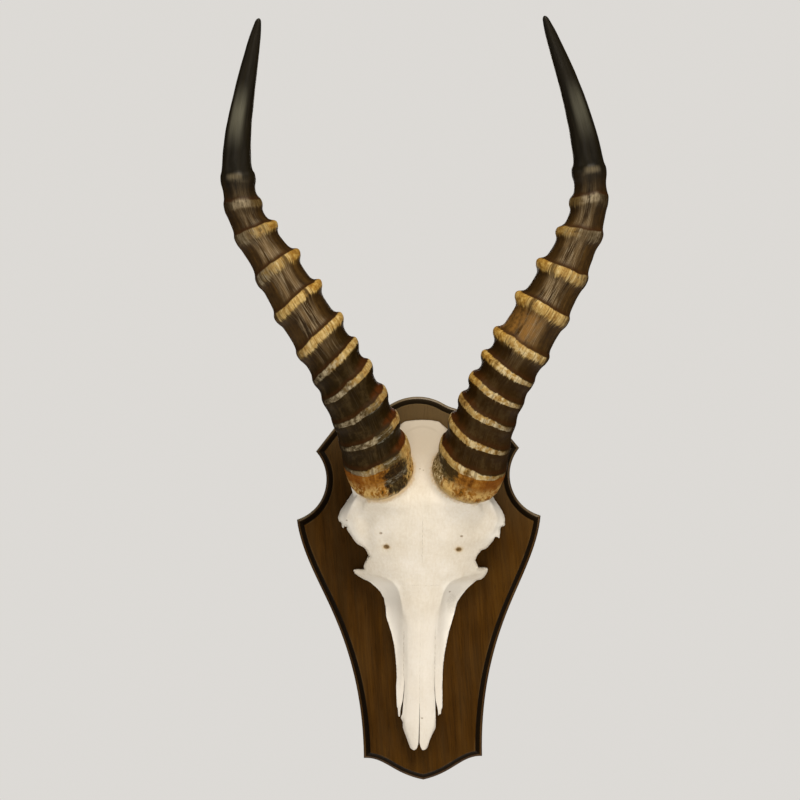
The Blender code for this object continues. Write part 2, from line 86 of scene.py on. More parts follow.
camera_data = bpy.data.cameras.new("camera")
camera_data.sensor_width = SENSOR_WIDTH
camera_data.lens = SENSOR_WIDTH * VIEW_DISTANCE / (FRAME_WIDTH * PIXEL)
camera = place_in_scene("camera", camera_data)
upright = Matrix.Rotation(math.radians(90.0), 4, "X")
roll = Matrix.Rotation(CAMERA_ROLL, 4, "Z")
camera.matrix_world = Matrix.Translation((CAMERA_ACROSS, -VIEW_DISTANCE, CAMERA_UP)) @ upright @ roll
bpy.context.scene.camera = camera
print("lens, mm:", round(camera_data.lens, 2))

# %% [markdown]
# A large lamp above and in front gives soft shadows, as a window would. A weaker one low in front
# and one on each side open them up, and one behind is there for the views of the back. The plain
# view transform is used, so that a material's colours can be read off as they would look in
# daylight.

# %% Lamps
LAMPS = (("key", (0.35, -1.45, 1.75), 1.0, 39.0, (1.0, 0.95, 0.87)),
         ("front", (-0.15, -2.3, -0.25), 0.6, 9.0, (1.0, 0.95, 0.88)),
         ("left", (-1.7, -0.9, 0.45), 1.0, 4.0, (1.0, 0.95, 0.88)),
         ("right", (1.7, -1.2, 0.1), 1.0, 5.0, (1.0, 0.95, 0.88)),
         ("back", (0.0, 1.8, 0.3), 1.2, 12.0, (1.0, 0.95, 0.88)))
TROPHY_MIDDLE = Vector((0.0, -0.06, 0.14))
for name, where, size, watts, glow in LAMPS:
    lamp_data = bpy.data.lights.new(name, "AREA")
    lamp_data.shape = "DISK"
    lamp_data.size, lamp_data.energy, lamp_data.color = size, watts, glow
    lamp = place_in_scene(name, lamp_data)
    lamp.location = where
    lamp.rotation_euler = (TROPHY_MIDDLE - lamp.location).to_track_quat("-Z", "Y").to_euler()
bpy.context.scene.view_settings.view_transform = "Standard"
print("lamps:", len(LAMPS))

# %% [markdown]
# The world plays three parts: it sheds a weak light on the trophy, is dim and warm in its
# reflections, as a room is, and is pale behind it. Dark horn would otherwise shine pale along both
# its sides. A Light Path node says which kind of ray is asking, and a Mix Shader for each kind
# gives it its own background.

# %% The world
PALE_GREY = (0.72, 0.70, 0.67, 1.0)
WORLD_PARTS = (("Is Glossy Ray", (1.0, 0.70, 0.40, 1.0), 0.06), ("Is Camera Ray", PALE_GREY, 1.0))
world = bpy.data.worlds.new("studio")
world.use_nodes = True
nodes, links = world.node_tree.nodes, world.node_tree.links
sky = nodes["Background"]
sky.inputs["Color"].default_value = (1.0, 0.95, 0.88, 1.0)
sky.inputs["Strength"].default_value = 0.18
light_path = nodes.new("ShaderNodeLightPath")
below = sky.outputs[0]
for ray, colour, strength in WORLD_PARTS:
    background, choice = nodes.new("ShaderNodeBackground"), nodes.new("ShaderNodeMixShader")
    background.inputs["Color"].default_value = colour
    background.inputs["Strength"].default_value = strength
    for place, output in enumerate((light_path.outputs[ray], below, background.outputs[0])):
        links.new(output, choice.inputs[place])
    below = choice.outputs[0]
links.new(below, nodes["World Output"].inputs["Surface"])
bpy.context.scene.world = world
print("nodes in the world:", len(nodes))

# %% [markdown]
# ## A shorthand for materials
#
# A material is a tree of nodes, and most of its nodes are sums and products. Drawn by hand they
# soon become unreadable, so one small class wraps a socket and lets Python's own operators add
# the Math nodes. Every other node comes from one method, which sets the node's settings first and
# its sockets second. Colours go through Mix nodes, because a Math node would turn them grey. A
# finish is mostly a stack of thin layers, so one method lays them over each other in turn.


# %% A socket that can be added, multiplied and mixed
def tint(colour):
    """A screen colour from 0 to 255 as the light values that a shader wants; a wire stays as it is."""
    if isinstance(colour, Wire):
        return colour
    values = [channel / 255 for channel in colour]
    return (*[v / 12.92 if v < 0.04045 else ((v + 0.055) / 1.055) ** 2.4 for v in values], 1.0)


class Wire:
    """One socket in a material, used in Python expressions as if it were a number."""

    def __init__(self, tree, socket=None):
        self.tree = tree
        self.socket = socket

    def node(self, kind, settings=None, inputs=None, out=0):
        """Adds a node: its type, its settings, its sockets' values or wires, and which output."""
        made = self.tree.nodes.new(kind)
        for name, value in (settings or {}).items():
            if name == "stops":
                ramp = made.color_ramp.elements
                ramp[0].position, ramp[-1].position = value[0][0], value[-1][0]
                for place, _ in value[1:-1]:
                    ramp.new(place)
                for stop, (_, colour) in zip(ramp, value):
                    stop.color = tint(colour)
            else:
                setattr(made, name, value)
        for name, value in (inputs or {}).items():
            self.plug(made.inputs[name], value)
        return Wire(self.tree, made.outputs[out])

    def plug(self, socket, value):
        if isinstance(value, Wire):
            self.tree.links.new(value.socket, socket)
        else:
            socket.default_value = value

    def math(self, operation, *values):
        return self.node("ShaderNodeMath", {"operation": operation}, dict(enumerate(values)))

    def __add__(self, other):
        return self.math("ADD", self, other)

    def __sub__(self, other):
        return self.math("SUBTRACT", self, other)

    def __rsub__(self, other):
        return self.math("SUBTRACT", other, self)

    def __mul__(self, other):
        return self.math("MULTIPLY", self, other)

    def __truediv__(self, other):
        return self.math("DIVIDE", self, other)

    def __rtruediv__(self, other):
        return self.math("DIVIDE", other, self)

    def __pow__(self, other):
        return self.math("POWER", self, other)

    __radd__ = __add__
    __rmul__ = __mul__

    def __abs__(self):
        return self.math("ABSOLUTE", self)

    def at_least(self, other):
        return self.math("MAXIMUM", self, other)

    def at_most(self, other):
        return self.math("MINIMUM", self, other)

    def step(self, start, end):
        """0 before start and 1 after end, with a smooth passage; start may be above end."""
        return self.node("ShaderNodeMapRange", {"interpolation_type": "SMOOTHSTEP"},
                         {"Value": self, "From Min": start, "From Max": end})

    def mix(self, under, over):
        """This wire is the share of the colour over that covers the colour under."""
        sockets = {0: self, 6: tint(under), 7: tint(over)}
        return self.node("ShaderNodeMix", {"data_type": "RGBA"}, sockets, 2)

    def under(self, *layers):
        """This colour under others, laid on in turn, each given as its share and its colour."""
        colour = self
        for share, over in layers:
            colour = share.mix(colour, over)
        return colour

    def ramp(self, *stops):
        """Colours that follow this wire, each stop a place between 0 and 1 and a colour."""
        return self.node("ShaderNodeValToRGB", {"stops": stops}, {"Fac": self})

    def attribute(self, name, out="Fac"):
        """A number stored on the points, or a vector with out="Vector"."""
        return self.node("ShaderNodeAttribute", {"attribute_name": name}, None, out)

    def parts(self):
        """The three numbers of a vector."""
        made = self.node("ShaderNodeSeparateXYZ", None, {0: self}).socket.node
        return [Wire(self.tree, socket) for socket in made.outputs]

    def joined(self, *numbers):
        """Three numbers or wires as one vector."""
        return self.node("ShaderNodeCombineXYZ", None, dict(enumerate(numbers)))

    def stretch(self, *factors):
        return self.node("ShaderNodeVectorMath", {"operation": "MULTIPLY"}, {0: self, 1: factors})

    def shift(self, *amounts):
        return self.node("ShaderNodeVectorMath", {"operation": "ADD"}, {0: self, 1: amounts})

    def noise(self, size, detail, roughness):
        """Cloudy noise around 0.5, whose lumps are about this size."""
        return self.node("ShaderNodeTexNoise", None, {
            "Vector": self, "Scale": 1.0 / size, "Detail": detail, "Roughness": roughness})

    def cells(self, size, feature="DISTANCE_TO_EDGE"):
        """Cells of about this size, read as the distance to their edges, or with F1 to their middles."""
        return self.node("ShaderNodeTexVoronoi", {"feature": feature}, {
            "Vector": self, "Scale": 1.0 / size})

    def bump(self, strength, distance, under=None):
        """A surface that this wire raises, in metres at full strength, over another bump."""
        inputs = {"Height": self, "Strength": strength, "Distance": distance}
        if under is not None:
            inputs["Normal"] = under
        return self.node("ShaderNodeBump", None, inputs)


print("walnut brown in light values:", [round(v, 3) for v in tint((70, 48, 28))])


# %% Starting and finishing a material
def new_material(name):
    """A material, and a first wire to grow the others from."""
    material = bpy.data.materials.new(name)
    material.use_nodes = True
    return material, Wire(material.node_tree)


def finish_shader(material, **sockets):
    """Sets the shader's sockets: Base_Color stands for the socket Base Color."""
    shader = material.node_tree.nodes["Principled BSDF"]
    for name, value in sockets.items():
        Wire(material.node_tree).plug(shader.inputs[name.replace("_", " ")], value)
    print(material.name, "nodes:", len(material.node_tree.nodes))


def dress(item, material, sharp_from=180.0):
    """Gives a piece its material and smooth shading, apart from edges above an angle in degrees."""
    item.data.materials.clear()
    item.data.materials.append(material)
    item.data.shade_smooth()
    if sharp_from < 180.0:
        item.data.set_sharp_from_angle(angle=math.radians(sharp_from))


print("materials before the first:", len(bpy.data.materials))

# %% [markdown]
# The real trophy hangs on a wall, so the floor is a plain pale disc well below it. It fades out
# towards its rim and so has no horizon line in any view.

# %% The floor
FLOOR_LEVEL = -0.95
FLOOR_RADIUS = 2.7
floor_material, wire = new_material("pale_floor")
floor_place = wire.node("ShaderNodeNewGeometry").stretch(1.0, 1.0, 0.0)
from_middle = wire.node("ShaderNodeVectorMath", {"operation": "LENGTH"}, {0: floor_place}, 1)
finish_shader(floor_material, Base_Color=PALE_GREY, Roughness=0.8, Emission_Color=PALE_GREY,
              Emission_Strength=0.6)
nodes = floor_material.node_tree.nodes
painted = Wire(wire.tree, nodes["Principled BSDF"].outputs[0])
clear = wire.node("ShaderNodeBsdfTransparent")
fade_and_sheen = wire.node("ShaderNodeMixShader", None, {0: from_middle.step(1.2, 2.6), 1: painted, 2: clear})
wire.plug(nodes["Material Output"].inputs["Surface"], fade_and_sheen)

bm = bmesh.new()
bmesh.ops.create_circle(bm, cap_ends=True, segments=64, radius=FLOOR_RADIUS)
bmesh.ops.translate(bm, verts=bm.verts, vec=(0.0, 0.0, FLOOR_LEVEL))
floor_mesh = bpy.data.meshes.new("floor")
bm.to_mesh(floor_mesh)
bm.free()
floor_mesh.materials.append(floor_material)
floor = place_in_scene("floor", floor_mesh)
print("floor level, m:", FLOOR_LEVEL)

# %% [markdown]
# ## Helpers for meshes
#
# Bone and horn have no straight lines, but they have measurements that can be plotted: a width
# here, a height there. A smooth curve through such knots reads them anywhere in between. Sections
# read from the curves are joined into a skin, closed shapes are cut out of each other, and every
# point of a mesh can carry numbers that its material reads later.


# %% Smooth curve through knots
def smooth_curve(knots, where):
    """Reads a smooth curve through knots (place, value) at the places asked for."""
    places = np.array([knot[0] for knot in knots], float)
    values = np.array([knot[1] for knot in knots], float)
    slopes = np.gradient(values, places, axis=0)
    where = np.clip(np.asarray(where, float), places[0], places[-1])
    left = np.clip(np.searchsorted(places, where) - 1, 0, len(places) - 2)
    span = places[left + 1] - places[left]
    t = (where - places[left]) / span
    if values.ndim > 1:
        t, span = t[..., None], span[..., None]
    start = (1 + 2 * t) * (1 - t) ** 2 * values[left] + t * (1 - t) ** 2 * span * slopes[left]
    end = t ** 2 * (3 - 2 * t) * values[left + 1] + t ** 2 * (t - 1) * span * slopes[left + 1]
    return start + end


def ease(value):
    """The smooth passage from 0 to 1."""
    value = np.clip(value, 0.0, 1.0)
    return value * value * (3.0 - 2.0 * value)


def length_along(points):
    """How far along a line each of its points lies."""
    return np.concatenate([[0.0], np.cumsum(np.linalg.norm(np.diff(points, axis=0), axis=1))])


print("half way up a step:", float(ease(0.5)))


# %% Making a mesh
def add_object(name, bm):
    """Puts a finished bmesh into the scene, with its faces turned outwards."""
    bmesh.ops.recalc_face_normals(bm, faces=bm.faces)
    mesh = bpy.data.meshes.new(name)
    bm.to_mesh(mesh)
    bm.free()
    return place_in_scene(name, mesh)


def joined_sections(sections):
    """Joins closed sections of equal count, given in millimetres, into one closed bmesh."""
    sections = np.asarray(sections, float) * MM
    count, around = sections.shape[:2]
    bm = bmesh.new()
    points = [bm.verts.new(point) for point in sections.reshape(-1, 3)]
    for i in range(count - 1):
        for j in range(around):
            k = (j + 1) % around
            bm.faces.new([points[i * around + j], points[i * around + k],
                          points[(i + 1) * around + k], points[(i + 1) * around + j]])
    bm.faces.new(points[:around][::-1])
    bm.faces.new(points[-around:])
    return bm


def skin(name, sections):
    return add_object(name, joined_sections(sections))


def round_angles(count):
    return 2 * math.pi * np.arange(count) / count


print("angles round a square, degrees:", np.degrees(round_angles(4)).round())


# %% Cutting a mesh
def settle(item):
    """Turns what the modifiers give into the object's own mesh."""
    depsgraph = bpy.context.evaluated_depsgraph_get()
    mesh = bpy.data.meshes.new_from_object(item.evaluated_get(depsgraph))
    item.modifiers.clear()
    old, item.data = item.data, mesh
    bpy.data.meshes.remove(old)


def carve(item, others, operation="DIFFERENCE"):
    """Cuts closed shapes out of an object, or joins them to it, and removes them."""
    for other in others:
        modifier = item.modifiers.new(other.name, "BOOLEAN")
        modifier.operation, modifier.solver, modifier.object = operation, "MANIFOLD", other
    settle(item)
    for other in others:
        bpy.data.objects.remove(other)
    print(item.name, "after cutting:", len(item.data.polygons), "faces")


# %% Moving and marking the points of a mesh
def mark(item, name, values):
    """Stores a number or a vector on every point, for the material to read."""
    values = np.asarray(values, np.float32)
    kind, field = ("FLOAT", "value") if values.ndim == 1 else ("FLOAT_VECTOR", "vector")
    layer = item.data.attributes.new(name, kind, "POINT")
    layer.data.foreach_set(field, values.ravel())


def mesh_points(item):
    """The points of a mesh in millimetres, and their normals."""
    count = len(item.data.vertices)
    places, normals = np.zeros(count * 3), np.zeros(count * 3)
    item.data.vertices.foreach_get("co", places)
    item.data.vertices.foreach_get("normal", normals)
    return places.reshape(-1, 3) / MM, normals.reshape(-1, 3)


def move_points(item, places):
    item.data.vertices.foreach_set("co", (np.asarray(places) * MM).ravel())
    item.data.update()


def lumps(points, size):
    """Soft noise between about -1 and 1 at points in millimetres, the same on every run."""
    return np.array([noise.noise(Vector(point) / size) for point in points])


print("a few lumps:", lumps(np.arange(9.0).reshape(3, 3), 4.0).round(2))

# %% [markdown]
# ## The horns
#
# A horn grows from its base, one ring after another, so it is drawn the same way: a curved line
# through its middle, and a closed section across it every half millimetre or so. The rings are
# not round bands laid on top. They are places where the section is wider, with a short step on
# the tip's side and a longer one on the base's side, and they stand out most on the inner front.
# Modelling them into the skin keeps the outline right from every side.

# %% Measurements of the horns, in millimetres
HORN_AXES = {
    "left": ((-29.4, -56.5, 93.6), (-36, -73, 127), (-51, -88, 162), (-71, -98, 195), (-101, -109, 246),
             (-125.7, -117.5, 294), (-128.4, -121.5, 314), (-127.2, -127, 341), (-121.9, -134, 369),
             (-108.9, -150, 422)),
    "right": ((35.6, -56.5, 90.6), (44.5, -73, 123), (58.5, -87, 155), (77.5, -98, 188), (108, -109, 240),
              (127.3, -117.5, 290), (124.5, -126, 331), (118.5, -132, 355), (94.5, -151, 420))}
INWARD = {"left": 1.0, "right": -1.0}
HORN_LENGTH = 376.0
HORN_RADIUS = (
    (0, 26.0), (18, 24.4), (38, 23.2), (60, 22.0), (90, 21.2), (118, 22.0), (150, 21.5), (180, 19.3),
    (210, 16.5), (236, 14.0), (258, 12.6), (280, 10.7), (296, 9.3), (314, 8.1), (345, 6.0), (366, 4.0),
    (376, 2.2))
OUTER_FILL = {
    "left": ((0, -1.0), (8, 0.6), (18, 1.8), (38, 2.6), (60, 3.2), (80, 3.2), (96, 1.8), (115, 0.3),
             (125, 0.0), (130, 0.0), (376, 0.0)),
    "right": ((0, 2.0), (8, 3.8), (18, 5.2), (30, 5.0), (45, 3.9), (60, 3.0), (76, 2.4), (98, 1.8),
              (118, 1.2), (140, 0.4), (155, 0.0), (160, 0.0), (376, 0.0))}
INNER_FILL = {"left": ((0, 0.0), (5, 1.0), (11, 2.6), (15, 1.2), (22, 0.0), (25, 0.0), (376, 0.0)),
              "right": ((0, 0.0), (376, 0.0))}
# Each ring: how far from the base, and how many degrees it slants
HORN_RINGS = {
    "left": ((0, 1), (18, 10), (38, 9), (59, 9), (81, 12), (100, 13), (123, 12), (154, 10), (184, 7),
             (214, -6), (237, -8), (257, 0)),
    "right": ((0, 1), (18, 10), (38, 9), (57, 6), (76, 4), (95, 3), (115.5, 2), (147.5, -1), (179, -3),
              (210, -10), (236, -8), (257, 0))}
RING_DROP = ((0, 22), (18, 9), (40, 3), (62, 0), (376, 0))
RING_HEIGHT = (
    (0, 2.2), (40, 3.7), (70, 4.5), (180, 4.8), (215, 4.0), (240, 3.2), (262, 2.2), (282, 1.0), (376, 0.8))
# Across one ring: how far from its crest, and how deep, from 0 on the crest to 1 in the neck
RING_PROFILE = (
    (-16.0, 1.0), (-12.0, 0.94), (-9.0, 0.80), (-7.0, 0.60), (-5.4, 0.36), (-4.0, 0.15), (-2.6, 0.03),
    (-0.8, -0.05), (0.9, -0.06), (2.3, 0.03), (3.3, 0.22), (4.4, 0.48), (5.8, 0.70), (8.0, 0.88),
    (11.0, 0.97), (15.0, 1.0))
print("rings on each horn:", {side: len(rings) for side, rings in HORN_RINGS.items()})


# %% The line through a horn's middle
AXIS_POINTS = 600


def horn_frames(side, distances):
    """Middle, direction, and the ways to the inner and front sides, at distances from the base."""
    knots = np.array(HORN_AXES[side], float)
    chord = length_along(knots)
    line = smooth_curve(list(zip(chord, knots)), np.linspace(0.0, chord[-1], AXIS_POINTS))
    run = length_along(line)
    scale = run[-1] / HORN_LENGTH

    def middle(where):
        where = np.clip(where, 0.0, HORN_LENGTH) * scale
        return np.stack([np.interp(where, run, line[:, i]) for i in range(3)], axis=-1)

    along = middle(distances + 2.0) - middle(distances - 2.0)
    along /= np.linalg.norm(along, axis=1, keepdims=True)
    inner = np.array((INWARD[side], 0.0, 0.0)) - INWARD[side] * along[:, :1] * along
    inner /= np.linalg.norm(inner, axis=1, keepdims=True)
    return middle(distances), along, inner, np.cross(inner, along) * INWARD[side]


def horn_sections(side, distances, reach, angles):
    """Closed sections across a horn, whose points reach out from its middle by a table of radii."""
    middle, along, inner, front = (part[:, None] for part in horn_frames(side, distances))
    slants = (*HORN_RINGS[side], (HORN_LENGTH, 0))
    slant = np.tan(np.radians(smooth_curve(slants, distances)))[:, None, None]
    drop = np.tan(np.radians(smooth_curve(RING_DROP, distances)))[:, None, None]
    cos, sin = np.cos(angles)[None, :, None], np.sin(angles)[None, :, None]
    outward = (inner + slant * along) * cos + (front - drop * along) * sin
    return middle + reach[:, :, None] * outward


print("left horn's tip, mm:", horn_frames("left", np.array([HORN_LENGTH]))[0].round(1))

# %% [markdown]
# Each ring wanders a little along the horn and its crest is knobbly, because a real ring is not
# turned on a lathe. Between two rings the lower of their two slopes counts, eased into the other,
# which gives the waisted necks. The same wandering distances, past the last ring and up to the
# next one, are stored on the points, so that the material's pale band follows the crest exactly.
# They are two numbers, because one that counts to the nearest ring would leap in the middle of
# each neck and draw a line there. Streaks need a straight horn, so its unrolled place is stored
# too.

# %% Rings that wander
HORN_AROUND = 84
HORN_STATIONS = 700
HORN_SEED = {"left": 10.0, "right": 50.0}
RING_WANDER = 1.3
NECK_SOFTNESS = 8.0
turns = round_angles(HORN_AROUND)
stations = np.linspace(0.0, HORN_LENGTH, HORN_STATIONS)


def ring_noise(side, size, apart, start=0.0):
    """A soft number for each ring and each way round it, the same on every run."""
    ways = [(x * size + HORN_SEED[side], y * size) for x, y in zip(np.cos(turns), np.sin(turns))]
    return np.array([[noise.noise((*way, ring * apart + start)) for way in ways]
                     for ring in range(len(HORN_RINGS[side]))])


def ring_table(side):
    """The nearest ring of each station, and for each point the distances past the last ring and up
    to the next one, and its depth from 0 on a crest to 1 in a neck."""
    rings = np.array([place for place, slant in HORN_RINGS[side]], float)
    nearest = np.abs(stations[:, None] - rings[None, :]).argmin(axis=1)
    wander = RING_WANDER * ring_noise(side, 1.6, 7.3)
    gaps = stations[:, None, None] - rings + wander.T
    two_lowest = np.sort(np.interp(gaps, *zip(*RING_PROFILE)), axis=2)[:, :, :2]
    depth = -np.log(np.exp(-NECK_SOFTNESS * two_lowest).sum(axis=2)) / NECK_SOFTNESS
    wandering = stations[:, None] + wander[nearest]
    below = np.searchsorted(rings, wandering + 1.5, side="right").clip(1) - 1
    above = np.searchsorted(rings, wandering - 1.5).clip(0, len(rings) - 1)
    return nearest, wandering - rings[below], rings[above] - wandering, depth


print("deepest neck of the left horn:", round(float(ring_table("left")[3].max()), 3))

# %% Tones of the rings, base first
RING_TONES = {
    "left": {"pale": (0.3, 0.8, 0.75, 0.8, 0.85, 0.9, 1.0, 1.0, 0.88, 0.8, 0.16, 0.05),
             "grey": (0.2, 0.5, 0.8, 0.85, 0.75, 0.6, 0.2, 0.1, 0.5, 0.6, 1.0, 1.0),
             "amber": (0.3, 0.3, 0.1, 0.1, 0.2, 0.2, 0.4, 0.9, 0.8, 0.7, 0.1, 0.0),
             "depth": (0.0, -0.4, -0.2, 0.0, 0.6, 1.6, 3.2, 3.2, 4.4, 4.6, 3.0, 2.0)},
    "right": {"pale": (0.4, 0.9, 0.85, 0.85, 0.9, 0.95, 1.0, 1.0, 0.95, 0.6, 0.2, 0.05),
              "grey": (0.2, 0.25, 0.35, 0.45, 0.35, 0.25, 0.1, 0.05, 0.3, 0.8, 0.9, 1.0),
              "amber": (0.3, 0.2, 0.2, 0.3, 0.5, 0.7, 0.9, 0.9, 0.9, 0.5, 0.1, 0.0),
              "depth": (0.0, 0.6, 0.8, 0.6, 0.8, 1.8, 3.4, 4.8, 4.8, 4.6, 4.4, 2.0)}}
print("tones of each ring:", list(RING_TONES["left"]))

# %% Shape both horns
FIBRE_RADIUS = 20.0
RING_FACING = math.radians(40.0)
RING_FACING_SHARE = 0.3
KNOB_FACING = math.radians(8.0)
TIP_LENGTH = 3.0
# Along the horn: how high its soft lumps and its fine ones are, and how its bottom edge is rounded
SOFT_LUMPS = ((0, 0.45), (250, 0.35), (376, 0.05))
FINE_LUMPS = ((0, 0.55), (12, 0.35), (30, 0.22), (250, 0.2), (280, 0.04))
BOTTOM_EDGE = ((0, 0.976), (0.7, 0.991), (1.8, 0.998), (3.5, 1.0))


def make_horn(side):
    """One horn, with what its material needs stored on its points."""
    nearest, past_ring, to_ring, neck = ring_table(side)
    radius, height, outer_fill, inner_fill = (
        smooth_curve(knots, stations)[:, None]
        for knots in (HORN_RADIUS, RING_HEIGHT, OUTER_FILL[side], INNER_FILL[side]))
    soft_lumps, fine_lumps, bottom_edge = (
        np.interp(stations, *zip(*table))[:, None] for table in (SOFT_LUMPS, FINE_LUMPS, BOTTOM_EDGE))
    unrolled = FIBRE_RADIUS * np.cos(turns), FIBRE_RADIUS * np.sin(turns), stations[:, None]
    fibre = np.stack([np.broadcast_to(part, neck.shape) for part in unrolled], axis=-1).reshape(-1, 3)
    soft = lumps(fibre + HORN_SEED[side], 11.0).reshape(neck.shape)
    fine = lumps(fibre * (1.0, 1.0, 0.3) + HORN_SEED[side], 2.4).reshape(neck.shape)
    knobs = ring_noise(side, 4.5, 3.1, 40.0)[nearest]
    crest = 1.0 - neck
    outer, inner = (0.5 - 0.5 * np.cos(turns)) ** 2, (0.5 + 0.5 * np.cos(turns)) ** 4
    facing = 1.0 - RING_FACING_SHARE * (1.0 - np.cos(turns - RING_FACING))[None, :]
    facing = facing * (1.0 - 0.6 * outer * ease((130.0 - stations) / 60.0)[:, None])
    reach = radius - neck * height * facing + 0.35 * crest * knobs * facing * (height / 4)
    bulb = np.array(RING_TONES[side]["amber"], float)[nearest][:, None] * np.clip(crest, 0.0, 1.1) ** 3
    reach += 1.5 * bulb * np.exp(-((np.sin(turns - KNOB_FACING) / 0.36) ** 2)) * (np.cos(turns) > 0)
    reach += outer_fill * outer
    reach += inner_fill * inner
    reach += soft * soft_lumps + fine * fine_lumps
    to_end = ((stations - HORN_LENGTH + TIP_LENGTH) / TIP_LENGTH).clip(0, 1)
    reach = reach * bottom_edge * np.sqrt(np.clip(1.0 - to_end ** 2, 0.004, 1.0))[:, None]
    item = skin(f"{side}_horn_sheath", horn_sections(side, stations, reach, turns))
    mark(item, "fibre", fibre)
    mark(item, "past_ring", past_ring.ravel())
    mark(item, "to_ring", to_ring.ravel())
    by_ring = {"ring_number": np.arange(len(HORN_RINGS[side])), **RING_TONES[side]}
    for name, tones in by_ring.items():
        mark(item, name, np.repeat(np.array(tones, float)[nearest], HORN_AROUND))
    print(side, "horn:", len(item.data.polygons), "faces")
    return item


horns = {side: make_horn(side) for side in HORN_RINGS}

# %% [markdown]
# ## Horn, the material
#
# Horn is keratin, the stuff of nails: long fibres, dark brown here, polished black towards the
# tip. The crest of each ring is worn and dead, and has gone cream and amber. It ends sharply on
# the tip's side and frays into the fibres on the base's side. So the material is a stack of
# masks: the neck's streaks, the crest's band, the amber knob on the inner side, and the crumbly
# zone at the base, each one a sum or product of the numbers stored on the points.
#
# Both horns take the same steps, and each step is a cell that runs for one horn and then for the
# other. What differs between them stands in one table. Its entries also hold what a later cell
# needs from an earlier one, and h is the entry of the horn at hand.

# %% Two materials, the numbers they read and the noises that follow the fibres
HORN_LOOKS = {
    "left": SimpleNamespace(
        fibre_start=0.0, lower_neck=(26, 17, 2), lower_share=0.75, redness=0.8, slimness=0.7, front_highlight_share=0.3,
        patch_middle=0.55, patch_width=0.36, patch_up=9.0, patch_reach=10.0, patch_dark=(26, 21, 11),
        patch_scratches_and_highlight=(132, 126, 108), tip_highlight=0.54),
    "right": SimpleNamespace(
        fibre_start=500.0, lower_neck=(42, 24, 2), lower_share=0.7, redness=0.35, slimness=1.3,
        front_highlight_share=0.55, patch_middle=0.66, patch_width=0.30, patch_up=13.5, patch_reach=6.5,
        patch_dark=(54, 42, 19), patch_scratches_and_highlight=(112, 96, 60), tip_highlight=0.32)}
left, right = HORN_LOOKS["left"], HORN_LOOKS["right"]
for side, h in HORN_LOOKS.items():
    h.material, wire = new_material(f"horn_{side}")
    h.past_ring, h.to_ring, h.ring_number = map(wire.attribute, ("past_ring", "to_ring", "ring_number"))
    h.pale, h.grey, h.amber, h.depth = map(wire.attribute, ("pale", "grey", "amber", "depth"))
    straight = wire.attribute("fibre", "Vector")
    h.across, h.ahead, h.length = straight.parts()
    h.inner, h.front = h.across / FIBRE_RADIUS, h.ahead / FIBRE_RADIUS
    h.upper_half = h.length.step(95.0, 135.0)
    h.fibre = straight.shift(0.0, 0.0, h.fibre_start)
    h.hairs = h.fibre.stretch(1.0, 1.0, 0.03).noise(0.5, 2.0, 0.6)
    h.streak = h.fibre.stretch(1.0, 1.0, 0.07).noise(1.3, 3.0, 0.6)
    h.broad = h.fibre.stretch(1.0, 1.0, 0.25).noise(7.0, 2.0, 0.5)
    h.mottle = h.fibre.noise(3.4, 3.0, 0.65)
    h.crumb = h.fibre.shift(90.0, 0.0, 0.0).noise(1.5, 3.0, 0.7)
print("nodes so far:", len(right.material.node_tree.nodes))

# %% The necks between the rings
for h in HORN_LOOKS.values():
    # A pale sheen down the front of each neck: the fibres' pale streaks, and a painted highlight.
    middle = (h.front + 0.15 * h.inner).step(0.80, 1.0) * h.past_ring.step(3.0, 8.0)
    middle = middle * (0.06 + 0.94 * h.upper_half)
    dusk = h.length.step(196.0, 246.0)
    red = h.inner.step(0.45, 0.9) * h.past_ring.step(10.0, 4.5) * h.length.step(110.0, 50.0)
    red = red * h.broad.step(0.3, 0.5)
    worn = (1.0 - h.upper_half) * (0.5 * h.mottle + 0.5 * h.broad).step(0.48, 0.62) * h.front.step(0.2, 0.8)
    h.neck = (0.35 * h.streak + 0.40 * h.broad + 0.25 * h.mottle).ramp(
        (0.36, (38, 24, 6)), (0.46, (54, 36, 10)), (0.55, (68, 47, 16)), (0.66, (90, 65, 28)))
    h.neck = h.neck.under(
        ((1.0 - h.upper_half) * h.lower_share, h.lower_neck),
        (middle * h.broad.step(0.38, 0.60) * 0.48, (130, 108, 76)),
        (middle * h.hairs.step(0.52, 0.64) * 0.50, (186, 166, 132)),
        # Painted shade: the neck is darker towards its sides and back.
        (h.front.step(0.7, 0.0) * 0.6, (32, 20, 7)),
        (dusk * 0.6, (28, 20, 8)),
        (red * h.redness, (104, 50, 14)),
        (worn * 0.35, (74, 60, 36)))
# One neck of the right horn is as clear as amber
clear = right.length.step(108.0, 128.0) * right.length.step(152.0, 138.0)
clear = clear * (0.5 * right.broad + 0.5 * right.mottle).step(0.3, 0.7)
right.neck = right.neck.under((clear * (right.inner + 0.6).step(0.0, 1.0), (138, 97, 42)))
for h in HORN_LOOKS.values():
    # Painted shade in the step just above each ring's crest.
    h.neck = h.neck.under((h.past_ring.step(2.6, 3.4) * h.past_ring.step(7.0, 3.6) * 0.6, (58, 31, 9)))
print("nodes with the necks:", len(right.material.node_tree.nodes))

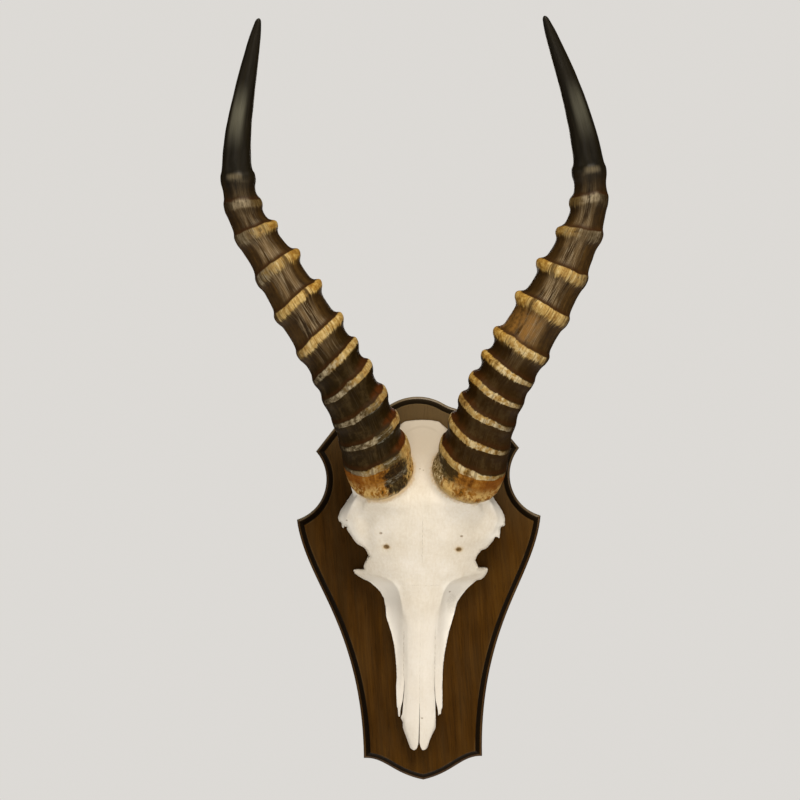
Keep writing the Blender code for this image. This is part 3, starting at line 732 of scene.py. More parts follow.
# %% Where the pale bands lie
for h in HORN_LOOKS.values():
    frayed = h.depth.step(2.4, 4.2)
    slim = h.inner.step(0.1, -0.8) * (1.0 - h.upper_half) * h.slimness
    upper = (h.past_ring + slim + (h.streak - 0.5) * 1.6 + (h.broad - 0.5) * 1.6).step(3.5, 2.6)
    fray = h.depth - slim - h.to_ring + (h.streak - 0.5) * (4.0 + 7.0 * frayed) + (h.mottle - 0.5) * 2.0
    strands = (h.depth - h.to_ring + (h.hairs - 0.5) * 15.0).step(-2.0, 1.5) * frayed * 0.6
    lower = fray.step(-1.3, 0.8).at_least(strands)
    patches = (h.broad + 0.6 * h.mottle + 0.35 * frayed).step(0.52, 0.72)
    thin = (h.inner * 0.8 + h.front * 0.6 + (0.5 * h.mottle + 0.5 * h.streak - 0.5) * 1.2).step(-0.62, 0.02)
    h.band = upper.at_least(lower) * h.pale * (0.45 + 0.55 * patches) * thin
print("nodes with the bands:", len(right.material.node_tree.nodes))

# %% What colours the bands have
for h in HORN_LOOKS.values():
    h.tone = h.upper_half * (0.40 * h.streak + 0.25 * h.hairs + 0.35 * h.mottle)
    h.tone = h.tone + (1.0 - h.upper_half) * (
        0.14 * h.streak + 0.08 * h.hairs + 0.56 * h.mottle + 0.22 * h.broad)
    cream = h.tone.ramp(
        (0.35, (118, 84, 38)), (0.44, (164, 128, 68)), (0.54, (196, 166, 102)), (0.64, (222, 200, 150)))
    ashen = h.tone.ramp(
        (0.36, (58, 47, 31)), (0.46, (98, 84, 60)), (0.56, (138, 124, 98)), (0.66, (184, 172, 146)))
    ochre = h.mottle.ramp((0.38, (134, 92, 28)), (0.50, (166, 123, 46)), (0.62, (200, 162, 84)))
    greyness = (h.grey * (1.2 - h.inner) * (0.5 + h.mottle)).step(0.35, 1.0)
    # A painted highlight on the front of the lower crests.
    front_highlight = (h.front - 0.15 * h.inner).step(0.70, 0.98) * (1.0 - h.upper_half) * h.mottle.step(0.42, 0.58)
    stamp = h.fibre.joined(h.across, h.ahead, h.ring_number * 37.0)
    h.seams = stamp.cells(4.6).step(0.07, 0.01) * h.mottle.step(0.42, 0.58)
    knob = (h.amber * h.inner.step(0.55, 0.9)).step(0.15, 0.6)
    beside_knob = abs(h.inner - 0.52 + (h.streak - 0.5) * 0.3).step(0.10, 0.02)
    beside_knob = beside_knob * (h.amber * h.upper_half).step(0.5, 0.8)
    h.crest = greyness.mix(cream, ashen).under(
        (front_highlight * h.front_highlight_share, (226, 210, 172)),
        (h.seams * (0.55 + 0.15 * h.upper_half), (74, 48, 18)),
        (knob * 0.85, ochre),
        (beside_knob * 0.75, (58, 34, 12)))
print("nodes with the crests:", len(right.material.node_tree.nodes))

# %% Bands on the necks, scuffs and a painted highlight on the upper rings, and a bare bluish side with scratches and painted highlights on the left horn
for h in HORN_LOOKS.values():
    # Scuffs on the front of the upper rings, partly a painted highlight.
    upper_rings = h.length.step(226.0, 234.0) * (1.5 * h.front).step(1.15, 1.5)
    scuffs_and_highlight = upper_rings * h.past_ring.step(5.5, 2.0).at_least(h.to_ring.step(4.0, 1.0))
    scuffs_and_highlight = scuffs_and_highlight * h.tone.step(0.36, 0.62)
    h.colour = h.neck.under((h.band, h.crest), (scuffs_and_highlight * 0.7, (176, 160, 130)))
to_crest = left.past_ring.at_most(left.to_ring)
bare = left.inner.step(0.12, 0.3) * left.inner.step(0.86, 0.72) * left.front.step(0.0, 0.3)
bare = bare * left.length.step(84.0, 40.0) * to_crest.step(6.5, 3.5)
# Bluish-grey lines along the crests of the bare side: scratches, and a painted highlight on the ridges.
bluish = abs(to_crest - 1.2 + (left.mottle - 0.5) * 3.0).step(1.5, 0.5)
bluish = bluish * left.fibre.stretch(0.3, 0.3, 1.6).noise(1.1, 3.0, 0.6).step(0.44, 0.56)
left.colour = left.colour.under((bare * 0.8, (bluish * 0.75).mix((40, 32, 16), (142, 138, 122))))
left.band = left.band * (1.0 - bare * 0.8)
print("nodes with the scuffs:", len(left.material.node_tree.nodes))

# %% Rust, crumbs and a dark patch at the base
for h in HORN_LOOKS.values():
    h.near_base = (h.length + (h.mottle - 0.5) * 3.0).step(18.5, 16.0) * (1.0 - h.band * 0.9)
    flake = 0.55 * h.fibre.stretch(1.0, 1.0, 0.7).noise(5.0, 3.0, 0.6) + 0.30 * h.crumb + 0.15 * h.broad
    low = h.length.step(11.0, 3.5)
    crust = h.inner.step(0.62, 0.86)
    if h is left:
        crust, crumbly = crust * flake.step(0.40, 0.52) * 0.8, (208, 172, 104)
    else:
        crust, crumbly = crust * 0.85, h.crumb.ramp(
            (0.38, (60, 48, 24)), (0.47, (124, 106, 68)), (0.58, (172, 154, 112)), (0.66, (214, 204, 172)))
    bottom = (h.length + (h.crumb - 0.5) * 5.0).step(1.8, 0.4)
    oval = ((h.inner - h.patch_middle) / h.patch_width) ** 2.0
    oval = oval + ((h.length - h.patch_up) / h.patch_reach) ** 2.0
    patch = (oval + (h.mottle - 0.5) * 2.0 + (h.crumb - 0.5) * 1.6).step(1.6, 0.5) * h.front.step(-0.1, 0.2)
    # A ridge low on the base: scratches, and a painted highlight on its crest.
    ridge = abs(h.length - 8.0 + (h.broad - 0.5) * 5.0 + (h.mottle - 0.5) * 3.0).step(2.4, 0.4)
    scratches = h.fibre.stretch(0.35, 0.35, 1.4).noise(0.9, 3.0, 0.65).step(0.42, 0.60)
    blotch = (ridge * scratches * 0.75).mix(h.patch_dark, h.patch_scratches_and_highlight)
    rust = (0.45 * h.mottle + 0.25 * h.broad + 0.30 * h.streak).ramp(
        (0.36, (66, 40, 12)), (0.43, (112, 68, 18)), (0.51, (148, 96, 32)), (0.59, (172, 122, 50)),
        (0.68, (196, 156, 84)))
    rust = rust.under(
        (h.inner.step(0.1, -0.7) * 0.7, (128, 70, 10)),
        (low * flake.step(0.46, 0.55) * 0.85, (206, 172, 106)),
        (low * h.crumb.step(0.50, 0.40) * 0.55, (140, 94, 34)),
        (low * flake.step(0.45, 0.39) * 0.85, (50, 38, 14)),
        (crust, crumbly),
        (bottom * 0.7, (214, 192, 148)),
        (patch * 0.94, blotch.under((h.crumb.step(0.50, 0.66) * 0.35, (96, 76, 42)))))
    h.colour = h.colour.under((h.near_base, rust))
print("nodes with the bases:", len(right.material.node_tree.nodes))

# %% Black tips with painted highlights, the grooves of the fibres, and both horns dressed
for side, h in HORN_LOOKS.items():
    glossy = h.length.step(238.0, 262.0)
    black = (0.5 * h.streak + 0.5 * h.broad).ramp((0.35, (12, 9, 3)), (0.65, (29, 24, 11)))
    # A painted highlight down the front of each black tip, and another on the last ring.
    tip_highlight = h.length.step(275.0, 304.0) * h.length.step(332.0, 306.0)
    tip_highlight = tip_highlight * (h.front - 0.25 * h.inner).step(0.72, 1.0) * (0.5 + h.streak) * h.tip_highlight
    last_ring_highlight = abs(h.length - 258.5).step(3.6, 0.4) * (h.front - 0.15 * h.inner).step(0.84, 1.0)
    h.colour = h.colour.under(
        (glossy, black.under((tip_highlight, (118, 116, 100)))),
        (last_ring_highlight * (1.1 * h.streak), (120, 108, 84)))
    rough = 0.42 + 0.2 * h.streak + 0.12 * h.band + 0.15 * h.near_base - 0.14 * glossy
    coat = 0.3 * glossy + 0.14 * (1.0 - glossy) * (1.0 - h.band) * h.upper_half
    grooves = h.hairs.bump(0.4, 0.3 * MM)
    edges = (h.streak * (1.0 - glossy * 0.8) - h.seams * h.band).bump(0.5, 0.5 * MM, grooves)
    crumbs = (h.crumb * h.near_base).bump(0.8, 1.2 * MM, edges)
    finish_shader(h.material, Base_Color=h.colour, Roughness=rough, Coat_Weight=coat, Normal=crumbs,
                  Specular_IOR_Level=0.07, Specular_Tint=(1.0, 0.85, 0.62, 1.0),
                  Coat_Roughness=0.5, Coat_Tint=(1.0, 0.93, 0.82, 1.0))
    dress(horns[side], h.material)

# %% [markdown]
# ## The skull
#
# The skull cap is one bone, from the occiput over the forehead to the two free tips of the nasal
# bones. Seen from the front it is a height above the shield for every place, so most of it is
# written as one: a crown line down the middle, a roof that sags towards the sides, and walls that
# turn down to the shield. The two sides of a real skull differ, and its rim is broken, so the
# outline is drawn on each side from its own points and then used as a cutter.

# %% Measurements of the skull, in millimetres: outlines as (across, up), the rest as (up, value)
OUTLINE = {
    "right": (
        (0.0, 131.9), (8.6, 131.5), (12.4, 130.8), (15.1, 128.1), (20.4, 124.1), (25.5, 119.5),
        (38.5, 100.5), (54.4, 74.3), (56.4, 70.5), (59.1, 67.0), (61.4, 63.6), (63.0, 60.5), (63.8, 57.4),
        (63.9, 54.3), (63.6, 51.9), (62.8, 50.8), (61.7, 51.1), (60.7, 51.0), (60.3, 49.7), (60.1, 45.8),
        (59.4, 41.7), (58.2, 42.8), (57.0, 43.2), (56.4, 43.6), (55.5, 42.1), (54.3, 39.8), (53.2, 38.3),
        (51.3, 36.0), (49.0, 33.7), (47.8, 33.3), (46.3, 33.1), (44.8, 31.4), (43.3, 29.8), (42.2, 27.8),
        (41.6, 25.8), (41.6, 24.1), (42.4, 22.4), (43.3, 20.0), (44.4, 18.3), (46.7, 18.1), (49.8, 18.6),
        (51.0, 18.2), (51.4, 16.6), (50.8, 14.5), (49.0, 11.2), (46.4, 8.6), (42.9, 7.9), (36.1, 1.7),
        (31.2, -4.4), (28.3, -8.9), (27.0, -13.0), (26.0, -17.6), (24.4, -23.0), (22.0, -31.0),
        (20.3, -39.0), (18.7, -48.0), (17.6, -57.3), (17.3, -65.5), (17.2, -73.8), (17.4, -82.2),
        (17.4, -89.8), (16.7, -91.5), (16.4, -95.1), (15.0, -95.5), (13.8, -97.0), (12.5, -98.5),
        (12.5, -105.6), (12.1, -107.0), (10.3, -110.7), (8.3, -114.8), (6.9, -119.7), (6.0, -122.3),
        (4.0, -124.0), (2.2, -123.0), (0.9, -120.4), (0.1, -117.2)),
    "left": (
        (0.0, 131.9), (-8.9, 131.4), (-13.8, 130.5), (-17.9, 127.5), (-23.6, 122.0), (-38.8, 100.5),
        (-56.8, 70.0), (-60.4, 64.8), (-62.9, 61.0), (-64.3, 57.5), (-64.5, 56.0), (-63.6, 53.5),
        (-62.2, 53.2), (-61.5, 51.9), (-60.8, 48.4), (-59.9, 48.2), (-59.4, 49.9), (-58.2, 50.0),
        (-56.6, 49.9), (-57.6, 48.7), (-56.2, 45.9), (-53.4, 41.8), (-50.6, 37.8), (-47.1, 35.4),
        (-44.0, 34.0), (-42.3, 31.7), (-40.9, 28.5), (-39.6, 26.9), (-41.6, 25.2), (-42.3, 22.9),
        (-43.9, 20.4), (-44.4, 19.0), (-43.6, 16.4), (-45.0, 15.9), (-51.2, 16.4), (-52.4, 15.3),
        (-51.2, 12.8), (-48.1, 10.2), (-44.3, 8.0), (-39.4, 5.6), (-35.9, 2.8), (-31.5, -1.5),
        (-28.6, -6.6), (-27.2, -12.7), (-26.5, -20.9), (-24.4, -27.0), (-22.3, -33.5), (-20.4, -41.4),
        (-19.1, -50.2), (-18.3, -59.4), (-17.9, -68.3), (-18.4, -74.0), (-18.0, -82.1), (-17.7, -89.4),
        (-16.9, -91.0), (-16.5, -97.2), (-15.3, -97.6), (-14.5, -98.3), (-13.9, -99.7), (-12.9, -101.8),
        (-12.9, -105.9), (-11.8, -109.1), (-9.9, -114.2), (-7.0, -122.0), (-5.8, -123.1), (-4.1, -123.7),
        (-2.3, -122.5), (-1.2, -119.6), (-0.5, -117.2))}
FALL_REACH = (
    (-126, 4.0), (-115, 8), (-107, 10.5), (-90, 12.2), (-50, 12.0), (-30, 13.0), (-14, 15.0), (0, 19.0),
    (5, 22.0), (13, 29.0), (26, 37.0), (34, 41.5), (44, 48.5), (56, 52.5), (66, 50.0), (78, 46.0),
    (94, 43.0), (108, 33.0), (123, 19.0), (132.5, 14.0))
CROWN = (
    (-126, 12.0), (-110, 16), (-85, 20), (-50, 24.5), (-20, 28.5), (5, 33.5), (28, 40), (45, 45),
    (60, 48.5), (71, 49.5), (80, 46.5), (94, 37.5), (110, 26.5), (123, 17.5), (132.5, 12.5))
ROOF = (
    (-126, 4.0), (-115, 8), (-107, 10.5), (-90, 12.2), (-50, 12.0), (-30, 12.8), (-14, 14.2), (-4, 16.2),
    (2, 18.0), (6, 20.4), (9, 23.8), (11, 28.4), (12.4, 34.0), (13.6, 41.0), (14.8, 47.5), (17, 44.5),
    (26, 37.0), (34, 43.5), (44, 52.0), (56, 57.5), (66, 54.0), (78, 48.0), (94, 43.0), (108, 33.0),
    (123, 19.0), (132.5, 14.0))
SAG = (
    (-126, 1.5), (-90, 2.8), (-50, 3.2), (-14, 4.2), (0, 5.0), (5, 5.6), (13, 7.2), (26, 9.5), (44, 11.0),
    (58, 11.5), (72, 5.0), (94, 1.0), (110, 1.5), (132.5, 2.0))
RIM = (
    (-126, 8.5), (-107, 10.0), (-98, 12.0), (-90, 14.0), (-60, 15.0), (-35, 13.5), (-20, 11.0), (-8, 8.0),
    (0, 7.0), (8, 8.0), (12.5, 12.0), (16, 15.0), (19, 19.0), (26, 25.0), (34, 26.0), (44, 24.0),
    (55, 19.0), (62, 10.0), (72, 5.0), (100, 4.0), (124, 6.0), (132.5, 8.0))
WALL = (
    (-126, 1.0), (-60, 1.2), (-20, 1.8), (5, 1.7), (14, 1.2), (24, 0.9), (60, 0.8), (80, 0.9), (132.5, 1.0))
SKULL_PLACE = Matrix.Translation((0.5 * MM, -18.3 * MM, 0.0)) @ Matrix.Rotation(math.radians(1.6), 4, "Y")
print("skull outline points:", {side: len(points) for side, points in OUTLINE.items()})

# %% [markdown]
# Small forms are added to the height as soft hollows and swellings, each an oval with a depth:
# the groove beside each brow, the ridge outside it, the swelling that carries each horn, the
# grooves on both sides of the nasal bones and the crease between them.


# %% Soft ovals and furrows
# Each soft oval on the skull: its middle and size as (across, up), and its height
SKULL_FORMS = (
    ((41.5, 54.0), (4.2, 19.0), -2.2), ((51.0, 50.0), (5.0, 13.0), 1.8), ((30.0, 72.0), (15.0, 11.0), 6.5),
    ((27.5, 38.0), (4.0, 7.0), -0.8))
BESIDE_NOSE = ((-98, 12.8), (-64, 11.9), (-28, 12.4), (-8, 14.5))
ALONG_NOSE = ((-122, 0.3), (-60, 0.2), (-8, 0.0))
FURROW_END = 12.0


def soft_oval(across, up, middle, size, height):
    return height * np.exp(-((across - middle[0]) / size[0]) ** 2 - ((up - middle[1]) / size[1]) ** 2)


def furrow(across, up, line, width, depth):
    """A groove along a line of (up, across), which fades at both ends."""
    ups = [knot[0] for knot in line]
    middle = np.interp(up, ups, [knot[1] for knot in line])
    fade = np.clip((up - ups[0]) / FURROW_END, 0, 1) * np.clip((ups[-1] - up) / FURROW_END, 0, 1)
    return -depth * fade * np.exp(-((across - middle) / width) ** 2)


print("a soft oval half its size away:", round(float(soft_oval(2.0, 0.0, (0.0, 0.0), (4.0, 4.0), 1.0)), 2))

# %% [markdown]
# Round the base of a horn the bone stands up in a low collar. It is worked out from the horn's own
# bottom edge: level with the base inside that edge, and sloping away outside it, on the lower
# inner side only, because a horn hangs over the rim of the skull on the other side.

# %% Collars of bone round the horns
BASE_POINTS = 48
COLLAR_SLOPE = 1.0
COLLAR_SUNK = 0.7
NO_COLLAR = 30.0


def horn_base(side, grow=1.0, back=0.0, ahead=0.0):
    """The horn's bottom section, scaled about its middle and moved along its normal or the horn."""
    start = np.zeros(1)
    reach = np.full((1, BASE_POINTS), HORN_RADIUS[0][1])
    section = horn_sections(side, start, reach, round_angles(BASE_POINTS))[0]
    middle, along = horn_frames(side, start)[0][0], horn_frames(side, start)[1][0]
    normal = np.cross(section[BASE_POINTS // 4] - middle, section[0] - middle)
    normal *= np.sign(normal.dot(along)) / np.linalg.norm(normal)
    return middle + (section - middle) * grow - normal * back + along * ahead


def in_skull_frame(points):
    """Places in millimetres, moved from the scene's frame to the skull's own."""
    to_skull = np.array(SKULL_PLACE.inverted())
    return np.asarray(points) @ to_skull[:3, :3].T + to_skull[:3, 3] / MM


def collar(side, across, up):
    """Height of the bone that slopes up to the lower inner side of a horn's base."""
    rim_line = in_skull_frame(horn_base(side))
    middle = rim_line.mean(axis=0)
    spread = rim_line - middle
    order = np.argsort(np.arctan2(spread[:, 2], spread[:, 0]))
    turn = np.arctan2(spread[order, 2], spread[order, 0])
    away = np.hypot(across - middle[0], up - middle[2])
    angle = np.arctan2(up - middle[2], across - middle[0])
    edge = np.interp(angle, turn, np.hypot(spread[order, 0], spread[order, 2]), period=2 * math.pi)
    rise = np.interp(angle, turn, -spread[order, 1], period=2 * math.pi)
    facing = ease((np.cos(angle) * 0.75 * INWARD[side] - np.sin(angle) * 0.66 + 0.15) / 0.5)
    past = np.maximum(away - edge, 0.0)
    top = -middle[1] + rise * np.minimum(away / edge, 1.0) - COLLAR_SUNK
    return top - COLLAR_SLOPE * past - NO_COLLAR * (1.0 - facing)


print("middles of the horns' bases on the skull:",
      {side: in_skull_frame(horn_base(side)).mean(axis=0).round(1) for side in horns})

# %% [markdown]
# The height itself starts from the crown, sags over the roof and falls down the walls.

# %% The height for every place
HALF_LEVELS = np.arange(-126.0, 134.0, 0.2)
TRIMMINGS = 0.7


def widest(side):
    """The outline's largest reach at each height, as a table."""
    points = np.array(OUTLINE[side], float)
    reach = np.zeros(len(HALF_LEVELS))
    for (x0, z0), (x1, z1) in zip(points, points[1:]):
        low, high = min(z0, z1), max(z0, z1)
        inside = (HALF_LEVELS >= low - 0.1) & (HALF_LEVELS <= high + 0.1)
        share = np.clip((HALF_LEVELS[inside] - z0) / (z1 - z0 if z1 != z0 else 1.0), 0, 1)
        reach[inside] = np.maximum(reach[inside], np.abs(x0 + share * (x1 - x0)))
    return reach


REACH = {side: widest(side) for side in OUTLINE}


def raw_reach(side, up):
    """How far the bone reaches before it is trimmed with the outline."""
    return np.interp(up, HALF_LEVELS, REACH[side]) + TRIMMINGS


def bone_height(across, up):
    """Height of the outer surface above the shield's face, for places in the skull's own frame."""
    widths = np.where(across < 0, raw_reach("left", up), raw_reach("right", up))
    roof = np.minimum(smooth_curve(ROOF, up), 0.96 * widths)
    crown, sag, rim = smooth_curve(CROWN, up), smooth_curve(SAG, up), smooth_curve(RIM, up)
    distance = np.abs(across)
    on_roof = crown - sag * (np.minimum(distance, roof) / smooth_curve(FALL_REACH, up)) ** 2.2
    down_wall = np.clip((distance - roof) / (widths - roof), 0.0, 1.0)
    share = (1.0 - down_wall) ** smooth_curve(WALL, up)
    height = rim + (on_roof - rim) * share
    lip = np.clip((up + 20.0) / 15.0, 0, 1) * np.clip((17.0 - up) / 3.0, 0, 1)
    height = height + 0.7 * lip * np.exp(-((distance - roof) / 2.2) ** 2)
    for middle, size, rise in SKULL_FORMS:
        height = height + share * soft_oval(distance, up, middle, size, rise)
    height = height + furrow(distance, up, BESIDE_NOSE, 1.5, 0.8)
    height = height + furrow(across, up, ALONG_NOSE, 1.1, 0.5)
    for side in horns:
        height = np.logaddexp(height, collar(side, across, up))
    return height


print("height of the crown:", round(float(bone_height(np.array(0.0), 60.0)), 1), "mm")


# %% The raw skull, as sections across it
SKULL_TOP, SKULL_BOTTOM, SECTION_GAP = 132.9, -125.4, 1.25
SECTION_POINTS = 150
BACK_POINTS = 40
NOSE_TIPS_UP = -95.0
NOSE_TIPS_THICK = 5.0


def skull_section(up):
    """Evenly spaced points over the bone from the left edge to the right, and back behind it."""
    left, right = -float(raw_reach("left", up)), float(raw_reach("right", up))
    fine = np.linspace(left, right, 600)
    height = bone_height(fine, np.full_like(fine, up))
    run = np.concatenate([[0.0], np.cumsum(np.hypot(np.diff(fine), np.diff(height)))])
    across = np.interp(np.linspace(0.0, run[-1], SECTION_POINTS), run, fine)
    over = bone_height(across, np.full_like(across, up))
    back = np.linspace(right, left, BACK_POINTS)
    under = np.zeros(BACK_POINTS)
    if up < NOSE_TIPS_UP:
        under = np.maximum(bone_height(back, np.full_like(back, up)) - NOSE_TIPS_THICK, 1.0)
    return np.concatenate([np.stack([across, -over, np.full_like(across, up)], axis=-1),
                           np.stack([back, -under, np.full_like(back, up)], axis=-1)])


levels = np.arange(SKULL_TOP, SKULL_BOTTOM, -SECTION_GAP)
bone = skin("skull_cap", [skull_section(up) for up in levels])
print("raw skull:", len(bone.data.polygons), "faces")

# %% [markdown]
# The rim is trimmed with the drawn outline, roughened where the bone broke. The sawn top is
# trimmed first and will be softened with the rest. The broken rim below it waits until the mesh is
# final, or its teeth would be rounded off. The eye sockets, the hollow behind each spur and the
# nose are cut with egg shapes, and the bone that carries a horn is a short post with the horn's
# own seat cut into it.


# %% Cutters for the skull
# The broken edge: how high on the skull, and how deep its small breaks are
BREAKS = ((-120, 0.12), (-95, 0.16), (-25, 0.2), (0, 0.25), (8, 0.3), (20, 0.35), (30, 0.45), (60, 0.4),
          (72, 0.2), (80, 0.1))
BREAK_GAP, BREAK_SIZE = 0.6, 1.5
BROKEN_BELOW = 69.0
BEHIND, BEFORE = -2.0, 80.0
FAR_ACROSS, FAR_BELOW = 95.0, -140.0


def ragged_outline():
    """The whole outline, with small seeded breaks along the brows, spurs and side strips, and the
    two numbers between which its broken part lies."""
    points = np.array([*OUTLINE["right"], *OUTLINE["left"][:0:-1]], float)
    closed = np.vstack([points, points[:1]])
    run = length_along(closed)
    where = np.arange(0.0, run[-1], BREAK_GAP)
    line = np.stack([np.interp(where, run, closed[:, i]) for i in range(2)], axis=-1)
    ahead = np.roll(line, -1, axis=0) - np.roll(line, 1, axis=0)
    normal = np.stack([-ahead[:, 1], ahead[:, 0]], axis=-1)
    normal /= np.linalg.norm(normal, axis=1, keepdims=True)
    wave = lumps(np.stack([line[:, 0], line[:, 1], np.zeros(len(line))], axis=-1), BREAK_SIZE)
    line = line + normal * (np.interp(line[:, 1], *zip(*BREAKS)) * wave)[:, None]
    broken = np.where(line[:, 1] < BROKEN_BELOW)[0]
    return line, broken[0], broken[-1]


def prism(name, outline, start, end):
    """A flat outline (across, up) in the skull's frame, between two heights above the shield."""
    bm = bmesh.new()
    low = [bm.verts.new((x * MM, -start * MM, z * MM)) for x, z in outline]
    high = [bm.verts.new((x * MM, -end * MM, z * MM)) for x, z in outline]
    bm.faces.new(low)
    bm.faces.new(high[::-1])
    for i in range(len(low)):
        j = (i + 1) % len(low)
        bm.faces.new((low[i], low[j], high[j], high[i]))
    return add_object(name, bm)


def egg(name, radii, place, turn=0.0, rings=24):
    """An egg shape at (across, height, up), turned about the direction away from the shield."""
    bm = bmesh.new()
    bmesh.ops.create_uvsphere(bm, u_segments=2 * rings, v_segments=rings, radius=1.0)
    across, height, up = place
    bm.transform(Matrix.Translation(Vector((across, -height, up)) * MM)
                 @ Matrix.Rotation(math.radians(turn), 4, "Y")
                 @ Matrix.Diagonal((*[radius * MM for radius in radii], 1.0)))
    return add_object(name, bm)


rim, first_broken, last_broken = ragged_outline()
sides = [(FAR_ACROSS, rim[first_broken, 1]), (FAR_ACROSS, FAR_BELOW), (-FAR_ACROSS, FAR_BELOW),
         (-FAR_ACROSS, rim[last_broken, 1])]
sawn = np.vstack([rim[last_broken:], rim[:first_broken + 1], sides])
carve(bone, [prism("sawn_top", sawn, BEHIND, BEFORE)], "INTERSECT")
hollows = [egg("nose", (10.0, 11.0, 62.0), (0.0, 0.0, -97.0))]
for sign in (-1, 1):
    hollows.append(egg("eye", (27.0, 14.5, 16.0), (61.0 * sign, 5.0, 37.0), 8.0 * sign))
    hollows.append(egg("behind_spur", (15.0, 8.5, 10.0), (54.0 * sign, 0.0, 13.0)))
carve(bone, hollows)
bone.data.transform(SKULL_PLACE)


# %% Seats for the horns
posts = [skin("post", [horn_base(side, 0.96, 28.0), horn_base(side, 0.93, -2.0)]) for side in horns]
carve(bone, posts, "UNION")
seats = [skin("seat", [horn_base(side, 1.0, 0.3), horn_base(side, 1.1, 0.0, 45.0)]) for side in horns]
carve(bone, seats)

# %% [markdown]
# All those cuts leave long thin faces and knife edges. A voxel remesh wraps the bone in small
# even squares, which softens every edge by a fraction of a millimetre, as bleaching does. Even
# squares also take a fine displacement well: bone is never quite smooth. The thin slits and the
# small nerve holes come last, because the remesh would have closed them.

# %% Even mesh and natural unevenness
VOXEL = 0.85
BACK_OF_SKULL = -18.6
remesh = bone.modifiers.new("even", "REMESH")
remesh.mode = "VOXEL"
remesh.voxel_size = VOXEL * MM
settle(bone)
soften = bone.modifiers.new("soften", "SMOOTH")
soften.factor, soften.iterations = 0.5, 2
settle(bone)
places, normals = mesh_points(bone)
uneven = 0.30 * lumps(places, 9.0) + 0.10 * lumps(places + 70.0, 2.6) + 0.05 * lumps(places + 30.0, 1.2)
in_front = ease((BACK_OF_SKULL - places[:, 1]) / 1.5)
move_points(bone, places + normals * (uneven * in_front)[:, None])
print("even skull:", len(bone.data.polygons), "faces")

# %% The broken rim, slits beside and between the nasal bones, and nerve holes
SLITS = (
    ((-11.7, -64.0), (-12.0, -76.0), (-12.7, -85.7), (-13.0, -91.4), (-13.4, -95.5), (-14.4, -98.0),
     (-14.9, -99.2), (-15.6, -98.8), (-15.2, -97.0), (-15.0, -93.3), (-14.6, -90.0), (-13.4, -85.2),
     (-12.4, -76.2)),
    ((10.9, -63.0), (11.2, -76.0), (11.8, -84.0), (12.1, -91.0), (12.3, -97.0), (12.4, -99.6),
     (14.4, -99.6), (14.3, -94.6), (13.7, -90.1), (12.9, -86.5), (12.2, -84.0), (11.6, -76.0)),
    ((-0.2, -86.0), (-0.3, -100.0), (-0.75, -117.0), (-1.8, -126.0), (1.4, -126.0), (0.15, -117.0),
     (0.15, -100.0), (0.0, -86.0)))
# Each nerve hole: how far across and up, and its radius
NERVE_HOLES = ((-31.2, 46.0, 0.7), (30.1, 44.3, 0.7), (-26.8, 35.5, 1.3), (28.1, 34.0, 1.3),
               (22.1, 0.1, 0.5), (1.8, -97.7, 0.45), (-2.0, 95.0, 0.35), (0.6, 94.0, 0.3),
               (-57.4, 55.0, 0.45))
outside = np.vstack([rim[first_broken:last_broken + 1], sides[::-1]])
broken_off = prism("broken_off", outside, BEHIND, BEFORE)
broken_off.data.transform(SKULL_PLACE)
carve(bone, [broken_off])
cuts = [prism(f"slit_{i}", outline, BEHIND, 45.0) for i, outline in enumerate(SLITS)]
for across, up, radius in NERVE_HOLES:
    height = float(bone_height(np.array(across), np.array(up)))
    radii = (radius * 1.6, 0.8 * radius, radius * 0.85)
    cuts.append(egg("nerve_hole", radii, (across, height, up), 8.0, 10))
for cut in cuts:
    cut.data.transform(SKULL_PLACE)
carve(bone, cuts)

# %% [markdown]
# The screws come from behind, so their holes are cut as one turned shape: a cone for the head and
# a bore for the shank. The same turned shape, a little smaller, is the screw itself.

# %% Screws and their holes
# Each profile: the radius, and how far it is from the wall
SCREW = ((3.7, 0.8), (3.95, 0.92), (4.0, 1.2), (2.05, 3.75), (2.0, 4.0), (2.0, 28.8), (0.2, 32.8))
SCREW_HOLE = ((4.3, -0.8), (4.3, 1.2), (2.3, 3.8), (2.3, 28.8), (0.3, 33.1))
SCREW_HEIGHTS = {"upper": 80.0, "lower": 30.0}
SLOT_TURNS = {"upper": 12.0, "lower": 62.0}


def turned(name, profile, height, sides=48):
    """A profile turned about an axis that points away from the wall, at a height on the shield."""
    angles = round_angles(sides)
    circle = np.stack([np.cos(angles), np.zeros(sides), np.sin(angles)], axis=-1)
    return skin(name, [circle * radius + (0.0, -depth, height) for radius, depth in profile])


def screw_holes():
    return [turned("screw_hole", SCREW_HOLE, height) for height in SCREW_HEIGHTS.values()]


screws = {}
for name, height in SCREW_HEIGHTS.items():
    screws[name] = turned(f"{name}_screw", SCREW, height)
    carve(screws[name], [egg("screw_slot", (5.5, 1.5, 0.55), (0.0, 0.3, height), SLOT_TURNS[name])])
carve(bone, screw_holes())


# %% Numbers for the bone's material
def distance_to(points, others):
    """How far each point is from the nearest of the others, a part at a time to save memory."""
    return np.concatenate([
        np.sqrt(((part[:, None, :] - others[None, :, :]) ** 2).sum(axis=2)).min(axis=1)
        for part in np.array_split(points, 20)])


places, normals = mesh_points(bone)
in_skull = in_skull_frame(places)
mark(bone, "skull_place", in_skull * (1.0, -1.0, 1.0))
mark(bone, "to_horn", distance_to(places, np.vstack([horn_base(side) for side in horns])))
mark(bone, "to_outline", distance_to(in_skull[:, [0, 2]], rim))
print("skull box, mm:", places.min(axis=0).round(1), places.max(axis=0).round(1))

# %% [markdown]
# ## Bone, the material
#
# Bleached bone is matt and warm white. What makes it bone and not plaster are small things at the
# right places: the thread of the suture down the forehead, brown rings round the nerve holes, a
# tan line where the horns meet it, spongy grey where the rim has broken. The material reads the
# place on the skull, across, up and out, and draws each of them with a distance.


